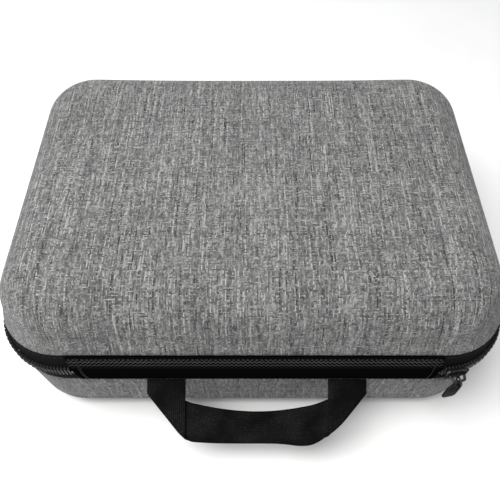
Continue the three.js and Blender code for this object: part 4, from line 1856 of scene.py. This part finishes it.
@dataclass
class Fittings:
    """The foam insert and pads, and the lid's mesh pocket."""

    outline: Outline
    sewing: Sewing
    pocket_inset: float = 15.2
    pocket_z: float = 106.0
    pocket_t: float = 0.8
    pocket_edge_y: float = 42.0
    pocket_rings: int = 12
    pocket_pole: float = 0.985
    pocket_belly: float = 2.4
    binding_w: float = 8.0
    binding_round: float = 0.2
    binding_gap: float = 0.3
    seam_insets: Point = (1.6, 6.4)
    small_gap: float = 6.0

    def build_foam(self) -> None:
        """The cut insert and the two pads, each a padded piece."""
        for node, name, body, width, finish in (
            ("foam_insert", "cut_foam_insert", Body.BASE, 1.6, Finish.INSERT),
            ("insert_floor_pad", "floor_pad", Body.BASE, 1.2, Finish.INSERT),
            ("lid_pad", "padded_lid_liner", Body.LID, 2.0, Finish.LINING),
        ):
            piece = stand_in(softened_copy(node, name, finish.material, width), node, body)

    def pocket_stations(self) -> list[Station]:
        """The pocket's sewn edge: two short sides and the long side by the hinge.

        Returns:
            The stations from the hem's left end to its right end.
        """
        front = [s for s in self.outline.three_sides() if s.cy == -CENTRE_Y and s.ny <= 0]
        left = Station(-CENTRE_X, self.pocket_edge_y, -1.0, 0.0, 0.0)
        right = Station(CENTRE_X, self.pocket_edge_y, 1.0, 0.0, 0.0)
        arc_left = [s for s in front if s.cx == -CENTRE_X]
        arc_right = [s for s in front if s.cx == CENTRE_X]
        places = [left] + self.outline.straight(left, arc_left[0]) + arc_left
        places += self.outline.straight(arc_left[-1], arc_right[0]) + arc_right
        places += self.outline.straight(arc_right[-1], right) + [right]
        runs = distances([s.at(0) for s in places])
        return [replace(s, run=run) for s, run in zip(places, runs)]

    def build_mesh(self) -> bpy.types.Object:
        """The mesh sheet, slack enough to belly a little towards the insert.

        Returns:
            The sheet, which still has to be given a body.
        """
        stations = self.pocket_stations()
        edge = [s.at(self.pocket_inset) for s in stations]
        centre_y = (self.pocket_edge_y - OUTLINE_D / 2 + self.pocket_inset) / 2
        rows, uvs = [], []
        for i in range(self.pocket_rings + 1):
            t = 1 - i / self.pocket_rings * self.pocket_pole
            ring = [(x * t, centre_y + (y - centre_y) * t) for x, y in edge]
            belly = self.pocket_belly * (1 - t * t)
            rows.append([(x, y, self.pocket_z - belly) for x, y in ring])
            uvs.append(ring + [ring[0]])
        mesh = grid_mesh("pocket_net", np.array(rows), np.array(uvs), closed_rows=True)
        bm = bmesh.new()
        bm.from_mesh(mesh)
        short = [e for e in bm.edges if e.is_boundary and e.calc_length() < self.small_gap * MM]
        bmesh.ops.holes_fill(bm, edges=short)
        bm.to_mesh(mesh)
        bm.free()
        piece = new_object("pocket_net", mesh, Finish.MESH.material)
        add_modifier(piece, "SOLIDIFY", thickness=self.pocket_t * MM, offset=0.0)
        return applied(piece)

    def build_pocket(self) -> None:
        """The pocket with its sewn binding and elastic hem."""
        net = self.build_mesh()
        stations = self.pocket_stations()
        inset, z, t = self.pocket_inset, self.pocket_z - self.binding_gap, self.pocket_t
        far, r = inset + self.binding_w, self.binding_round
        section = [
            (inset, z - r),
            (inset + r, z),
            (far - r, z),
            (far, z - r),
            (far, z - t + r),
            (far - r, z - t),
            (inset + r, z - t),
            (inset, z - t + r),
        ]
        tape = sweep("pocket_edge_tape", section, stations)
        binding = new_object("pocket_edge_tape", tape, Finish.BINDING.material)
        hem = softened_copy("pocket_hem", "elastic_hem", Finish.BINDING.material, 0.8)
        stand_in(net, "pocket_mesh", Body.LID)
        stand_in(binding, "pocket_binding", Body.LID)
        stand_in(hem, "pocket_hem", Body.LID)
        lower = z - t - THREAD_PROUD
        rows = [[(*s.at(inset + d), lower) for s in stations] for d in self.seam_insets]
        self.sewing.seam("pocket_seams", rows, Body.LID)

    def build(self) -> None:
        """Makes everything inside."""
        self.build_foam()
        self.build_pocket()


# ---------------------------------------------------------------- studio


@dataclass(frozen=True)
class Lamp:
    """A soft square lamp that faces the case."""

    name: str
    at: Place
    size: float
    power: float
    colour: Colour
    aim: Place = (0.0, 0.0, 0.06)

    def build(self) -> None:
        """Hangs the lamp."""
        data = bpy.data.lights.new(self.name, "AREA")
        data.size = self.size
        data.energy = self.power
        data.color = self.colour
        lamp = bpy.data.objects.new(self.name, data)
        lamp.location = self.at
        towards = Vector(self.aim) - Vector(self.at)
        lamp.rotation_euler = towards.to_track_quat("-Z", "Y").to_euler()
        bpy.context.scene.collection.objects.link(lamp)


@dataclass
class Studio:
    """The floor, the lamps, the surroundings and the camera."""

    camera_at: Place = (-0.0014, -0.2548, 0.4089)
    camera_down: float = 55.5
    sensor: float = 36.0
    focal_share: float = 1.12
    near: float = 0.01
    floor_size: float = 12.0
    sky: tuple[float, float, float, float] = (0.98, 0.99, 1.0, 1.0)
    sky_strength: float = 0.56
    key: Lamp = Lamp("key", (-0.32, -0.24, 1.1), 0.65, 16.5, (1.0, 0.995, 0.98))
    side: Lamp = Lamp("side", (-1.1, 0.1, 0.9), 0.6, 3.2, (0.93, 0.97, 1.0))

    def build_camera(self) -> None:
        """The camera looks down on the hinge side from close by."""
        data = bpy.data.cameras.new("camera")
        data.sensor_width = self.sensor
        data.lens = self.focal_share * data.sensor_width
        data.clip_start = self.near
        camera = bpy.data.objects.new("camera", data)
        camera.location = self.camera_at
        camera.rotation_euler = (math.radians(90 - self.camera_down), 0.0, 0.0)
        bpy.context.scene.collection.objects.link(camera)
        bpy.context.scene.camera = camera

    def build_floor(self) -> None:
        """A pale floor under the case."""
        bm = bmesh.new()
        bmesh.ops.create_grid(bm, x_segments=8, y_segments=8, size=self.floor_size / 2)
        mesh = bpy.data.meshes.new("floor")
        bm.to_mesh(mesh)
        bm.free()
        new_object("floor", mesh, StudioFloor().build())

    def build(self) -> None:
        """Sets the whole studio up."""
        self.build_camera()
        self.build_floor()
        world = bpy.data.worlds.new("studio")
        world.use_nodes = True
        background = world.node_tree.nodes["Background"]
        background.inputs[0].default_value = self.sky
        background.inputs[1].default_value = self.sky_strength
        bpy.context.scene.world = world
        bpy.context.scene.view_settings.view_transform = "Standard"
        self.key.build()
        self.side.build()


# ---------------------------------------------------------------- build


def main() -> None:
    """Builds the case round its frame."""
    logging.basicConfig(level=logging.INFO, format="%(name)s: %(message)s")
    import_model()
    outline = Outline()
    tree = RepeatTree()
    sewing = Sewing(tree)
    Studio().build()
    MouldedHalf("base", Side.LOWER, 58.5, 66.0, 20.0, 4.6, 2.4, outline).build()
    MouldedHalf("lid", Side.UPPER, 41.0, 48.0, 28.8, 8.2, 4.2, outline, dip=2.4).build()
    Zipper(outline, tree, sewing).build()
    Hinge(sewing).build()
    Strap().build()
    Fittings(outline, sewing).build()


if __name__ == "__main__":
    main()
